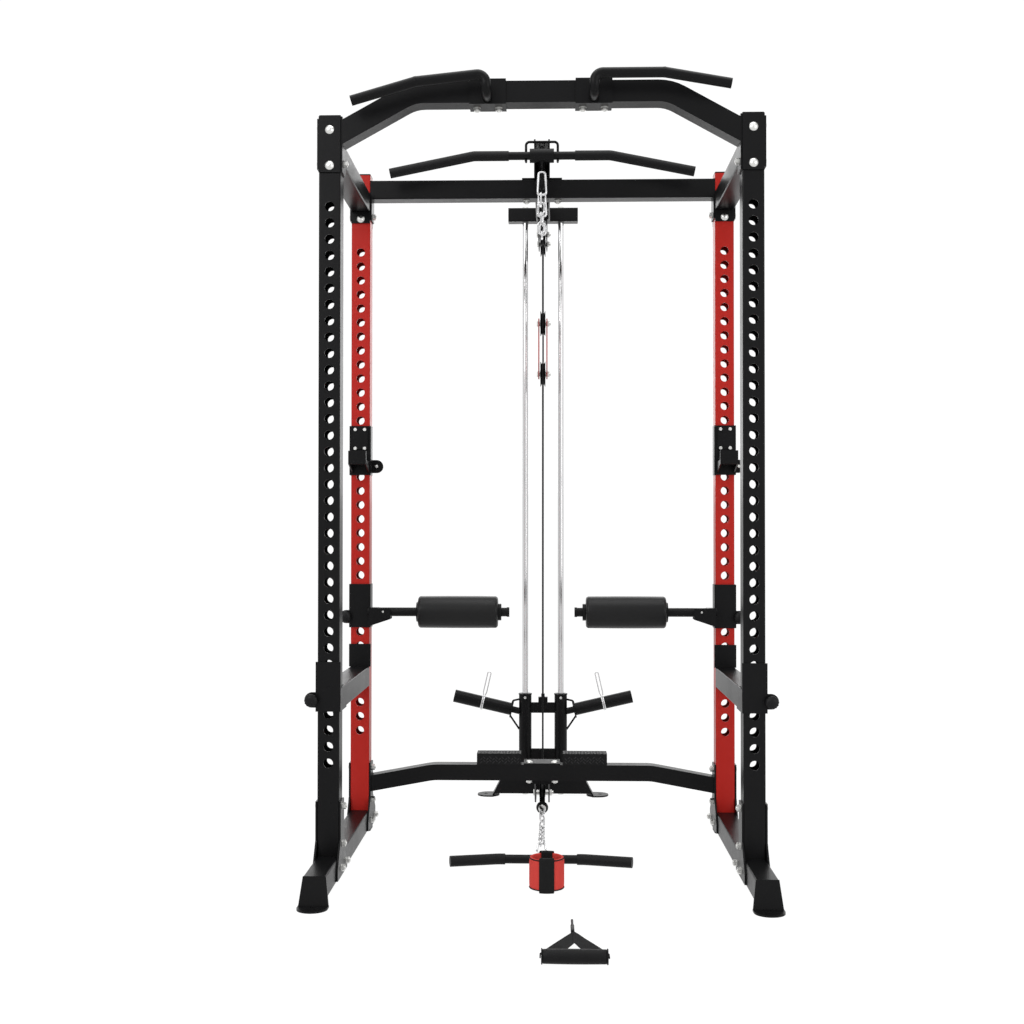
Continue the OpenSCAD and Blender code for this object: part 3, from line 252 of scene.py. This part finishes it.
slotOf = {s["node"]: s["material_slot"] for s in frame["record"]["subparts"]}


def dressNode(name, mat):
    # one material over a whole cad node
    obj = nodes[name]
    obj.data.materials.clear()
    obj.data.materials.append(mat)


for name in nodes:
    dressNode(name, cableFinish if name.startswith("cable") else finishes[slotOf[name]])
print("finishes made:", len(bpy.data.materials))


# numpy shapes
meshSetup = {"join": 2e-6, "sharp": 38}


def addMesh(name, points, faces, mat, body, slot, smooth=True):
    # points and faces become a mesh; points that coincide are joined, which closes poles and seams,
    # and edges over the sharp angle, in degrees, stay sharp
    mesh = bpy.data.meshes.new(name)
    mesh.from_pydata(np.asarray(points, float).reshape(-1, 3).tolist(), [],
                     faces if isinstance(faces, list) else faces.tolist())
    shape = bmesh.new()
    shape.from_mesh(mesh)
    bmesh.ops.remove_doubles(shape, verts=shape.verts, dist=meshSetup["join"])
    bmesh.ops.recalc_face_normals(shape, faces=shape.faces)
    shape.to_mesh(mesh)
    shape.free()
    mesh.polygons.foreach_set("use_smooth", [smooth] * len(mesh.polygons))
    if smooth:
        mesh.set_sharp_from_angle(angle=math.radians(meshSetup["sharp"]))
    mesh.materials.append(mat)
    obj = bpy.data.objects.new(name, mesh)
    scene.collection.objects.link(obj)
    if body:
        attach(obj, body)
    return obj


def gridFaces(rows, cols, wrapRows=False, wrapCols=True):
    # quads of a rows x cols grid, closed round each way that wraps
    i = np.arange(rows if wrapRows else rows - 1)[:, None]
    j = np.arange(cols if wrapCols else cols - 1)[None, :]
    a = i * cols + j
    b = i * cols + (j + 1) % cols
    c = ((i + 1) % rows) * cols + (j + 1) % cols
    d = ((i + 1) % rows) * cols + j
    return np.stack([a, b, c, d], -1).reshape(-1, 4)


def basis(axis):
    # two sides square to the axis and to each other, and the axis at unit length
    w = np.array(axis, float) / np.linalg.norm(axis)
    side = np.cross(w, (0, 0, 1.0) if abs(w[2]) < 0.9 else (0, 1.0, 0))
    side /= np.linalg.norm(side)
    return side, np.cross(w, side), w


def turned(profile, centre, axis, cols=64, ripple=None):
    # a closed profile of (radius, distance along the axis) swept round the axis; ripple(angle, distance)
    # multiplies the radius
    u, v, w = basis(axis)
    p = np.array(profile, float)
    angle = np.linspace(0, 2 * math.pi, cols, endpoint=False)
    radius = p[:, 0][:, None] * np.ones(cols)
    if ripple is not None:
        radius = radius * ripple(angle[None, :], p[:, 1][:, None])
    points = (np.array(centre) + radius[..., None] * (np.cos(angle)[None, :, None] * u
              + np.sin(angle)[None, :, None] * v) + p[:, 1][:, None, None] * w)
    return points.reshape(-1, 3), gridFaces(len(p), cols, wrapRows=True)


def roundedProfile(inner, outer, length, corner, crown=0.0, steps=6):
    # ring section from the bore's start round the outside and back: corners are quarter circles, and the
    # middle rises by the crown times a half sine
    out = [(inner, 0.0)]
    turn = np.linspace(0, math.pi / 2, steps)
    out += [(outer - corner + corner * math.sin(t), corner - corner * math.cos(t)) for t in turn]
    spread = np.linspace(0, 1, 12)[1:-1]
    out += [(outer + crown * math.sin(math.pi * s), corner + (length - 2 * corner) * s) for s in spread]
    out += [(outer - corner + corner * math.cos(t), length - corner + corner * math.sin(t)) for t in turn]
    out += [(inner, length)]
    return out


def tube(path, radius, cols):
    # a circle of the radius round each point, square to the path there, capped at both ends
    path = np.array(path, float)
    tangent = np.gradient(path, axis=0)
    tangent /= np.linalg.norm(tangent, axis=1)[:, None]
    side = np.cross(tangent, (0.0, 1.0, 0.0))
    weak = np.linalg.norm(side, axis=1) < 0.1
    side[weak] = np.cross(tangent[weak], (1.0, 0.0, 0.0))
    side /= np.linalg.norm(side, axis=1)[:, None]
    up = np.cross(side, tangent)
    angle = np.linspace(0, 2 * math.pi, cols, endpoint=False)
    ring = np.cos(angle)[None, :, None] * side[:, None, :] + np.sin(angle)[None, :, None] * up[:, None, :]
    points = (path[:, None, :] + radius * ring).reshape(-1, 3)
    faces = gridFaces(len(path), cols).tolist()
    faces.append(list(range(cols))[::-1])
    faces.append(list(range((len(path) - 1) * cols, len(path) * cols)))
    return points, faces


# foam leg rollers
rollerSetup = {"corner": 0.009, "crown": 0.0006, "inside": 0.0002, "bore": 0.0144}


def makeRoller(s, side):
    # a rounded and crowned ring section turned round the roller's axis, just inside its node's box
    low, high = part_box("leg_roller_" + side)
    centre = (low + high) / 2
    outer = (high.z - low.z) / 2 - s["crown"] - s["inside"]
    profile = roundedProfile(s["bore"], outer, high.x - low.x, s["corner"], s["crown"])
    points, faces = turned(profile, (low.x, centre.y, centre.z), (1, 0, 0), 96)
    obj = addMesh("legRollerFoam_" + side, points, faces, foam, "roller_" + side, "rubber")
    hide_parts("leg_roller_" + side)


for side in ("left", "right"):
    makeRoller(rollerSetup, side)
print("foam rollers made")


# pull knobs
knobSetup = {"flutes": 14, "depth": 0.035, "grip": 0.009, "spread": 0.0045, "pin": 0.005, "start": 0.020,
             "chamfer": 0.0012}


def makeKnob(s, node, body, name, out):
    # out is the way the knob faces along Y; a cap on a neck, its radius times 1 + depth cos(flutes a)
    # that fades away from the grip, with its steel pin apart
    low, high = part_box(node)
    cx, cz = (low.x + high.x) / 2, (low.z + high.z) / 2
    radius = (high.x - low.x) / 2
    face = low.y if out < 0 else high.y
    profile = [(0.0, 0.0), (radius * 0.45, 0.0004), (radius * 0.62, 0.0018), (radius * 0.8, 0.0036),
               (radius * 0.94, 0.0056), (radius, 0.0082), (radius, 0.0105), (radius * 0.97, 0.0128),
               (radius * 0.86, 0.0145), (radius * 0.62, 0.0155), (0.0088, 0.0165), (0.0080, 0.0195),
               (0.0088, 0.0215), (0.0088, 0.0248), (0.0054, 0.0255), (0.0, 0.0255)]
    fade = lambda z: np.exp(-((z - s["grip"]) / s["spread"]) ** 2)
    grip = lambda a, z: 1 + s["depth"] * np.cos(s["flutes"] * a) * fade(z)
    points, faces = turned(profile, (cx, face, cz), (0, -out, 0), 112, grip)
    knob = addMesh(name, points, faces, finishes["black_plastic"], body, "black_plastic")
    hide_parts(node)
    along = abs(high.y - low.y)
    pin = [(0.0, s["start"]), (s["pin"], s["start"]), (s["pin"], along - s["chamfer"]),
           (s["pin"] - s["chamfer"], along), (0.0, along)]
    points, faces = turned(pin, (cx, face, cz), (0, -out, 0), 32)
    addMesh(name + "Pin", points, faces, finishes["zinc"], body, "zinc")


for side in ("left", "right"):
    makeKnob(knobSetup, "safety_knob_" + side, "safety_pin_" + side, "safetyKnob_" + side, -1)
    makeKnob(knobSetup, "roller_knob_" + side, "roller_pin_" + side, "rollerKnob_" + side, -1)
    makeKnob(knobSetup, "j_hook_pin_" + side, "hook_pin_" + side, "hookKnob_" + side, 1)
print("pull knobs made")


# moving cable strands
strandSetup = {"rings": 120, "sides": 14}


def makeStrand(s, name, node):
    # an upright tube through its node's box, which lies between the bodies at its two ends; the tube is
    # fixed in place and follows neither body
    low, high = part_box(node)
    x, y = (low.x + high.x) / 2, (low.y + high.y) / 2
    z = np.linspace(low.z, high.z, s["rings"])
    points, faces = tube(np.stack([0 * z + x, 0 * z + y, z], 1), (high.x - low.x) / 2, s["sides"])
    obj = addMesh(name, points, faces, cableFinish, None, "black_plastic")
    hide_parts(node)
    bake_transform(obj)


makeStrand(strandSetup, "latCableEnd", "cable_drop")
makeStrand(strandSetup, "liftCableEnd", "cable_lift")
print("cable ends made")

# ankle cuff
cuffSetup = {"wall": 0.009, "edge": 0.0022, "band": 0.0355, "bandThick": 0.0022, "lift": 0.0045,
             "top": 0.001, "gap": 0.0004, "stand": 0.0012, "over": 0.0028, "bend": 0.003,
             "puffs": 6, "puff": 0.004, "round": (0.55, 0.3), "cord": (-190, 10)}


def makeCuff(s):
    # a padded ring just inside its node's box, with cord on its rims and two bands folded over it
    low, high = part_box("ankle_cuff")
    centre = np.array(((low.x + high.x) / 2, (low.y + high.y) / 2, 0.0))
    outer = (high.x - low.x) / 2 - s["bandThick"] - s["gap"]
    bottom, top = s["lift"], high.z - s["top"]
    mid, half = outer - s["wall"] / 2, (top - bottom) / 2
    # padded wall: a superellipse section, its cosine and sine raised to the powers in round, turned
    # about Z and drawn in a little between the puffs
    t = np.linspace(0, 2 * math.pi, 40, endpoint=False)
    radial = mid + s["wall"] / 2 * np.sign(np.cos(t)) * np.abs(np.cos(t)) ** s["round"][0]
    height = (top + bottom) / 2 + half * np.sign(np.sin(t)) * np.abs(np.sin(t)) ** s["round"][1]
    angle = np.linspace(0, 2 * math.pi, 128, endpoint=False)
    puff = 1 - s["puff"] * (1 - np.cos(s["puffs"] * angle))
    points = np.stack([radial[:, None] * np.cos(angle) * puff, radial[:, None] * np.sin(angle) * puff,
                       height[:, None] * np.ones(128)], -1) + centre
    cuff = addMesh("cuffWall", points, gridFaces(40, 128, wrapRows=True)[:, ::-1],
                   finishes["red_fabric"], "cuff", "red_fabric")
    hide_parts("ankle_cuff")
    # bound edges: black cord along the front of each rim, from one angle to the other
    front = np.radians(np.linspace(*s["cord"], 90))
    r = outer - s["stand"]
    for name, z in (("cuffEdgeTop", top - s["edge"]), ("cuffEdgeBottom", bottom + s["edge"])):
        path = np.stack([r * np.cos(front), r * np.sin(front), z + 0 * front], 1) + centre
        addMesh(name, *tube(path, s["edge"] * 0.8, 12), finishes["webbing"], "cuff", "webbing")
    # two bands folded over the wall, inside and out: the closing band in front, the ring's behind
    path = roundLoop(s["wall"] / 2 + s["stand"], half + s["over"], s["bend"], 6)
    spread = np.linspace(-s["band"] / 2, s["band"] / 2, 15)
    for name, middle in (("cuffBand", -math.pi / 2), ("cuffBandBack", math.pi / 2)):
        turn = middle + spread / mid
        sheets = []
        for grow in (0, s["bandThick"]):
            p = path + grow * loopNormals(path)
            r = mid + p[:, 0]
            sheets.append(np.stack([r[:, None] * np.cos(turn), r[:, None] * np.sin(turn),
                                    (p[:, 1] + (top + bottom) / 2)[:, None] * np.ones(15)], -1) + centre)
        ribbonSolid(name, *sheets, "cuff")


def roundLoop(halfX, halfZ, r, steps):
    # closed rounded rectangle, counter-clockwise: a quarter circle of r round each corner's centre
    out = []
    for cx, cz, a0 in ((halfX - r, halfZ - r, 0), (-halfX + r, halfZ - r, 90), (-halfX + r, -halfZ + r, 180),
                       (halfX - r, -halfZ + r, 270)):
        for a in np.radians(a0 + np.linspace(0, 90, steps)):
            out.append((cx + r * math.cos(a), cz + r * math.sin(a)))
    return np.array(out)


def loopNormals(path):
    # the chord from the point before to the point after, turned a quarter clockwise: it points outwards
    t = np.roll(path, -1, 0) - np.roll(path, 1, 0)
    n = np.stack([t[:, 1], -t[:, 0]], 1)
    return n / np.linalg.norm(n, axis=1)[:, None]


def ribbonSolid(name, inner, outer, body, closed=True):
    # webbing: two sheets of rows x cols points joined along their edges, a closed loop or an open strip
    rows, cols = inner.shape[:2]
    n = rows * cols
    grid = np.arange(n).reshape(rows, cols)
    faces = gridFaces(rows, cols, wrapRows=closed, wrapCols=False)
    i, k = (grid, np.roll(grid, -1, 0)) if closed else (grid[:-1], grid[1:])
    sides = [(i[:, 0], k[:, 0]), (k[:, -1], i[:, -1])]
    if not closed:
        sides += [(grid[0, 1:], grid[0, :-1]), (grid[-1, :-1], grid[-1, 1:])]
    edge = [np.stack([a, b, n + b, n + a], 1) for a, b in sides]
    return addMesh(name, np.concatenate([inner.reshape(-1, 3), outer.reshape(-1, 3)]),
                   np.concatenate([faces, n + faces[:, ::-1], *edge]), finishes["webbing"], body, "webbing")


makeCuff(cuffSetup)
print("ankle cuff made")

# loose handle
handleSetup = {"bore": 0.0092, "plate": 0.003, "corner": 0.0007, "inside": 0.0003,
               "chamfer": 0.0010, "step": 0.0030, "stepOut": 0.0004, "foam": 0.0020, "foamGap": 0.002,
               "swell": 0.0008, "thick": 0.0026, "drop": 0.0016, "arch": 0.0012, "lap": 0.0014,
               "outerEdge": ((0, 0.187), (0.0785, 0.016), (0.0785, -0.009)),
               "innerEdge": ((0, 0.100), (0.028, 0.0185), (0.0756, 0.0185), (0.0756, -0.009)),
               "swivel": ((0.0, 0.0), (0.0040, 0.0), (0.0046, 0.0012), (0.0046, 0.0530), (0.0040, 0.0545),
                          (0.0030, 0.0550), (0.0030, 0.0990), (0.0022, 0.1005), (0.0, 0.1005)),
               "swivelPlace": (-0.0015, 0.184)}


def makeHandle(s):
    # grip: a flat plate at each end, and foam between them that swells by a half sine
    low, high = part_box("d_handle_grip")
    cy, cz = (low.y + high.y) / 2, (low.z + high.z) / 2
    r = (high.z - low.z) / 2
    length = high.x - low.x
    plate, inside = s["plate"], s["inside"]
    profile = [(s["bore"], 0.0), (r - s["chamfer"], 0.0), (r - inside, s["corner"]),
               (r - inside, plate - s["corner"]), (r - s["chamfer"], plate),
               (r - s["step"], plate + s["stepOut"])]
    foamLength = length - 2 * plate - 2 * s["foamGap"]
    profile += [(r - s["foam"] + s["swell"] * math.sin(math.pi * t), plate + s["foamGap"] + foamLength * t)
                for t in np.linspace(0, 1, 14)]
    profile += [(q[0], length - q[1]) for q in profile[5::-1]]
    points, faces = turned(profile, (low.x, cy, cz), (1, 0, 0), 72)
    grip = addMesh("looseGripFoam", points, faces, finishes["rubber"], "d_handle", "rubber")
    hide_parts("d_handle_grip")

    # webbing from the apex down each side, narrowing past the grip to fold into its bore: straight
    # between its inner and its outer edge, arched by a half sine, the right leg laid over the left
    cx = (low.x + high.x) / 2
    along = np.concatenate([np.linspace(0, 0.8, 26), np.linspace(0.8, 1, 9)[1:]])
    across = np.linspace(0, 1, 9)
    outer = follow(s["outerEdge"], (0, 0.82, 1), along)
    inner = follow(s["innerEdge"], (0, 0.8, 0.86, 1), along)
    flat = inner[:, None, :] + (outer - inner)[:, None, :] * across[:, None]
    for sign, name in ((1, "webRight"), (-1, "webLeft")):
        lap = s["lap"] * (1 - smooth(0.1, 0.3, along)) * (sign > 0)
        rise = cz - s["drop"] + s["arch"] * np.sin(math.pi * along) + lap
        under = np.stack([cx + sign * flat[..., 0], cy + flat[..., 1], rise[:, None] * np.ones(9)], -1)
        ribbonSolid(name, under, under + (0, 0, s["thick"]), "d_handle", closed=False)
    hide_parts("d_handle_strap")
    # swivel and pin on the apex
    place = (cx + s["swivelPlace"][0], cy + s["swivelPlace"][1], cz)
    points, faces = turned(s["swivel"], place, (0, 1, 0), 36)
    addMesh("looseHandleSwivel", points, faces, finishes["black_plastic"], "d_handle", "black_plastic")


def smooth(low, high, x):
    # 0 up to low, 1 from high on, 3t2 - 2t3 between
    t = np.clip((x - low) / (high - low), 0, 1)
    return t * t * (3 - 2 * t)


def follow(corners, stops, along):
    # places along a line through the corners, each corner met at its stop
    corners = np.array(corners)
    return np.stack([np.interp(along, stops, corners[:, k]) for k in range(2)], 1)


makeHandle(handleSetup)
print("loose handle made")

# tread on the foot plates
treadSetup = {"step": 0.0098, "long": 0.0060, "wide": 0.0021, "high": 0.0013, "edge": 0.008, "reach": 0.131,
              "sides": 10, "lean": math.pi / 4, "sink": 0.0003, "shoulder": (0.5, 0.9)}


def makeTread(s):
    # low lens shapes in columns that lean one way and the other, every second one half a step on,
    # over the top and the front face of both plates; a lens is an oval rim, a ring part way in and a peak
    low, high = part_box("foot_plates")
    n = s["sides"]
    k = np.arange(n)
    a = 2 * math.pi * k / n
    rim = np.stack([s["long"] * np.cos(a), s["wide"] * np.sin(a)], 1)
    lens = np.concatenate([rim, rim * s["shoulder"][0], [[0, 0]]])
    rise = np.concatenate([np.full(n, -s["sink"]), np.full(n, s["high"] * s["shoulder"][1]), [s["high"]]])
    x = np.arange(high.x - s["reach"], high.x - s["edge"] / 2, s["step"])
    points = []
    for sign in (-1, 1):
        for face, first, last in (("top", low.y, high.y), ("front", low.z, high.z)):
            c = np.arange(first + s["edge"], last - s["edge"] / 2 - s["step"] / 2, s["step"])
            i, j = np.meshgrid(np.arange(len(x)), np.arange(len(c)), indexing="ij")
            turn = (np.where(i % 2, 1, -1) * s["lean"])[..., None]
            u = x[i][..., None] + lens[:, 0] * np.cos(turn) - lens[:, 1] * np.sin(turn)
            v = (c[j] + i % 2 * s["step"] / 2)[..., None]
            v = v + lens[:, 0] * np.sin(turn) + lens[:, 1] * np.cos(turn)
            out = rise + 0 * u
            place = [sign * u, v, high.z + out] if face == "top" else [sign * u, low.y - out, v]
            points.append(np.stack(place, -1).reshape(-1, 3))
    points = np.concatenate(points)
    base = len(lens) * np.arange(len(points) // len(lens))[:, None, None]
    quads = np.stack([k, (k + 1) % n, n + (k + 1) % n, n + k], 1)
    caps = np.stack([n + k, n + (k + 1) % n, np.full(n, 2 * n)], 1)
    faces = ((quads + base).reshape(-1, 4).tolist() + (caps + base).reshape(-1, 3).tolist()
             + (k[::-1] + base[:, 0]).tolist())
    addMesh("footTread", points, faces, tread, "cage", "black_paint")


makeTread(treadSetup)
dressNode("foot_plates", finishes["rubber"])
print("tread made")


# small parts
def roundedSlab(lowCorner, highCorner, r, axis):
    # a slab whose outline is a rounded rectangle seen along axis: four rings of it, the outer two drawn
    # in to soften the rims
    lowCorner, highCorner = np.array(lowCorner, float), np.array(highCorner, float)
    centre = (lowCorner + highCorner) / 2
    size = highCorner - lowCorner
    a, b = [k for k in range(3) if k != axis]
    rim = min(0.0008, size[axis] / 3)
    rings = []
    for inset, level in ((rim, -size[axis] / 2), (0, -size[axis] / 2 + rim), (0, size[axis] / 2 - rim),
                         (rim, size[axis] / 2)):
        loop = roundLoop(size[a] / 2 - inset, size[b] / 2 - inset, max(r - inset, 0.0003), 5)
        ring = np.zeros((len(loop), 3))
        ring[:, a], ring[:, b], ring[:, axis] = loop[:, 0], loop[:, 1], level
        rings.append(ring + centre)
    cols = len(rings[0])
    faces = gridFaces(4, cols).tolist()
    faces.append(list(range(cols))[::-1])
    faces.append(list(range(3 * cols, 4 * cols)))
    return np.concatenate(rings), faces


screwHead = [(0.0, 0.0006), (0.0016, 0.0006), (0.0018, 0.0), (0.0052, 0.0), (0.0058, 0.0006),
             (0.0060, 0.0026), (0.0, 0.0026)]


def addScrew(name, place, body, scale):
    # a flat round head with a dimple, times the scale, turned about +Y from its front face
    profile = [(r * scale, h * scale) for r, h in screwHead]
    addMesh(name, *turned(profile, place, (0, 1, 0), 28), finishes["zinc"], body, "zinc")


uprightLow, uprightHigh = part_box("rear_uprights")
uprightX = uprightHigh.x - 0.030  # half a tube in from the outer face

# the J-hooks' plastic liners and the screws of their plates
hookSetup = {"half": 0.0215, "front": 0.0083, "back": 0.0064, "under": 0.1178, "over": 0.1152,
             "corner": 0.003, "screwFace": 0.0156, "screwSize": 0.9,
             "screws": ((-0.015, 0.012), (0.015, 0.012), (-0.015, 0.072), (0.015, 0.072))}


def dressHook(s, side, cx):
    # a slab on the hook's seat, and the screws at their places below the plate's top
    low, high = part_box("j_hook_" + side)
    nearCorner = (cx - s["half"], low.y + s["front"], high.z - s["under"])
    farCorner = (cx + s["half"], uprightLow.y - s["back"], high.z - s["over"])
    points, faces = roundedSlab(nearCorner, farCorner, s["corner"], 2)
    addMesh("hookLiner_" + side, points, faces, finishes["black_plastic"], "hook_" + side,
            "black_plastic", smooth=False)
    for i, (dx, down) in enumerate(s["screws"]):
        addScrew(f"hookScrew_{side}_{i}", (cx + dx, uprightLow.y - s["screwFace"], high.z - down),
                 "hook_" + side, s["screwSize"])


for side, sign in (("left", -1), ("right", 1)):
    dressHook(hookSetup, side, sign * uprightX)

# a set screw in each collar of the carriage
collarSetup = {"x": 0.011, "face": 0.0256, "down": 0.014, "size": 0.8}
rodLow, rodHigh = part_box("guide_rods")
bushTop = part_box("carriage_bushes")[1].z
for side, sign in (("Left", -1), ("Right", 1)):
    place = (sign * (rodHigh.x - collarSetup["x"]), (rodLow.y + rodHigh.y) / 2 - collarSetup["face"],
             bushTop - collarSetup["down"])
    addScrew("collarScrew" + side, place, "carriage", collarSetup["size"])

# a flat gusset over each roller arm's end, with its rivet
gussetSetup = {"x": (-0.004, -0.073, -0.073, -0.004), "z": (0.0135, 0.0135, -0.016, -0.0445),
               "inner": 0.030, "front": 0.0483, "back": 0.0453, "rivet": (-0.049, -0.0497, 0.0012),
               "rivetSize": 0.55}


def addGusset(s, side, sign):
    # a plate of four corners, measured from the upright's inner face and the roller's axis
    low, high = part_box("leg_roller_" + side)
    inner, arm = uprightX - s["inner"], (low.z + high.z) / 2
    outline = np.stack([sign * (inner + np.array(s["x"])), np.zeros(4), arm + np.array(s["z"])], 1)
    sheets = [outline + (0, uprightLow.y - s[end], 0) for end in ("front", "back")]
    addMesh("rollerGusset_" + side, sheets, gridFaces(2, 4).tolist() + [[3, 2, 1, 0], [4, 5, 6, 7]],
            finishes["black_paint"], "roller_arm_" + side, "black_paint", smooth=False)
    x, y, z = s["rivet"]
    addScrew("rollerRivet_" + side, (sign * (inner + x), uprightLow.y + y, arm + z),
             "roller_arm_" + side, s["rivetSize"])


for side, sign in (("left", -1), ("right", 1)):
    addGusset(gussetSetup, side, sign)

# the steel ferrule on the front of the row cable's ball, turned from the ball's centre
ferruleSetup = {"ball": 0.020, "profile": ((0.0, 0.0148), (0.0114, 0.0148), (0.0126, 0.0156),
                                           (0.0126, 0.0184), (0.0114, 0.0196), (0.0, 0.0200))}
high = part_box("row_stop_ball")[1]
place = (0, high.y - ferruleSetup["ball"], high.z - ferruleSetup["ball"])
addMesh("rowBallFerrule", *turned(ferruleSetup["profile"], place, (0, -1, 0), 40), finishes["zinc"],
        "cage", "zinc")
print("liners, gussets, screws and ferrule made")


# floor and light
floorSetup = {"front": -14, "turn": 5, "bend": 3, "top": 16, "half": 16, "drop": 0.0004, "glow": 1.06,
              "share": 0.93}


def makeStage(s):
    # flat to the turn, a quarter circle up from there, then a wall; to rays that see or mirror it, it
    # mostly glows white, and to others it is pale paint, so it keeps the shadows
    arc = np.linspace(0, math.pi / 2, 12)
    y = np.concatenate([np.linspace(s["front"], s["turn"], 3), s["turn"] + s["bend"] * np.sin(arc),
                        [s["turn"] + s["bend"]]])
    z = np.concatenate([np.zeros(3), s["bend"] * (1 - np.cos(arc)), [s["top"]]]) - s["drop"]
    points = np.stack([np.tile((-s["half"], s["half"]), len(y)), np.repeat(y, 2), np.repeat(z, 2)], 1)
    mesh = bpy.data.meshes.new("floor")
    mesh.from_pydata(points.tolist(), [], gridFaces(len(y), 2, wrapCols=False).tolist())
    mesh.polygons.foreach_set("use_smooth", [True] * len(mesh.polygons))
    floor = bpy.data.objects.new("floor", mesh)
    scene.collection.objects.link(floor)
    f = material("paleFloor")
    ray = f.add("ShaderNodeLightPath", out="Is Camera Ray")
    seen = ray + ray.other("Is Glossy Ray") + ray.other("Is Transmission Ray")
    paint = f.add("ShaderNodeBsdfDiffuse", {}, {"Color": (0.95, 0.95, 0.95, 1)})
    glow = f.add("ShaderNodeEmission", {}, {"Color": (1, 1, 1, 1), "Strength": s["glow"]})
    mixed = f.add("ShaderNodeMixShader", {}, {0: 1 - seen * s["share"], 1: glow, 2: paint})
    f.add("ShaderNodeOutputMaterial", {}, {"Surface": mixed})
    mesh.materials.append(f.owner)


def makeWorld(strength):
    # white, full to rays that see or mirror it, and of the strength to those that light the object
    scene.world = bpy.data.worlds.new("studio")
    f = Finish(scene.world)
    ray = f.add("ShaderNodeLightPath", out="Is Camera Ray")
    level = f.add("ShaderNodeMapRange", {}, {"Value": ray + ray.other("Is Glossy Ray"), "To Min": strength})
    back = f.add("ShaderNodeBackground", {}, {"Color": (1, 1, 1, 1), "Strength": level})
    f.add("ShaderNodeOutputWorld", {}, {"Surface": back})


lampAim = (0, 0.3, 1.0)
lamps = {"key": {"place": (-2.6, -3.6, 3.4), "size": 2.6, "power": 80},
         "fill": {"place": (3.2, -3.2, 2.0), "size": 2.8, "power": 45},
         "top": {"place": (0.0, -0.4, 4.6), "size": 3.2, "power": 80},
         "back": {"place": (0.0, 4.2, 2.6), "size": 3.0, "power": 40}}


def makeLamp(name, s):
    # a square lamp whose own -Z looks from its place at the aim
    data = bpy.data.lights.new(name, "AREA")
    data.energy = s["power"]
    data.size = s["size"]
    obj = bpy.data.objects.new(name, data)
    scene.collection.objects.link(obj)
    obj.location = s["place"]
    aim = np.array(lampAim) - np.array(s["place"])
    obj.rotation_euler = (math.atan2(math.hypot(aim[0], aim[1]), -aim[2]), 0, math.atan2(-aim[0], aim[1]))


makeStage(floorSetup)
makeWorld(0.55)
for name, s in lamps.items():
    makeLamp(name, s)
print("stage and lamps made")
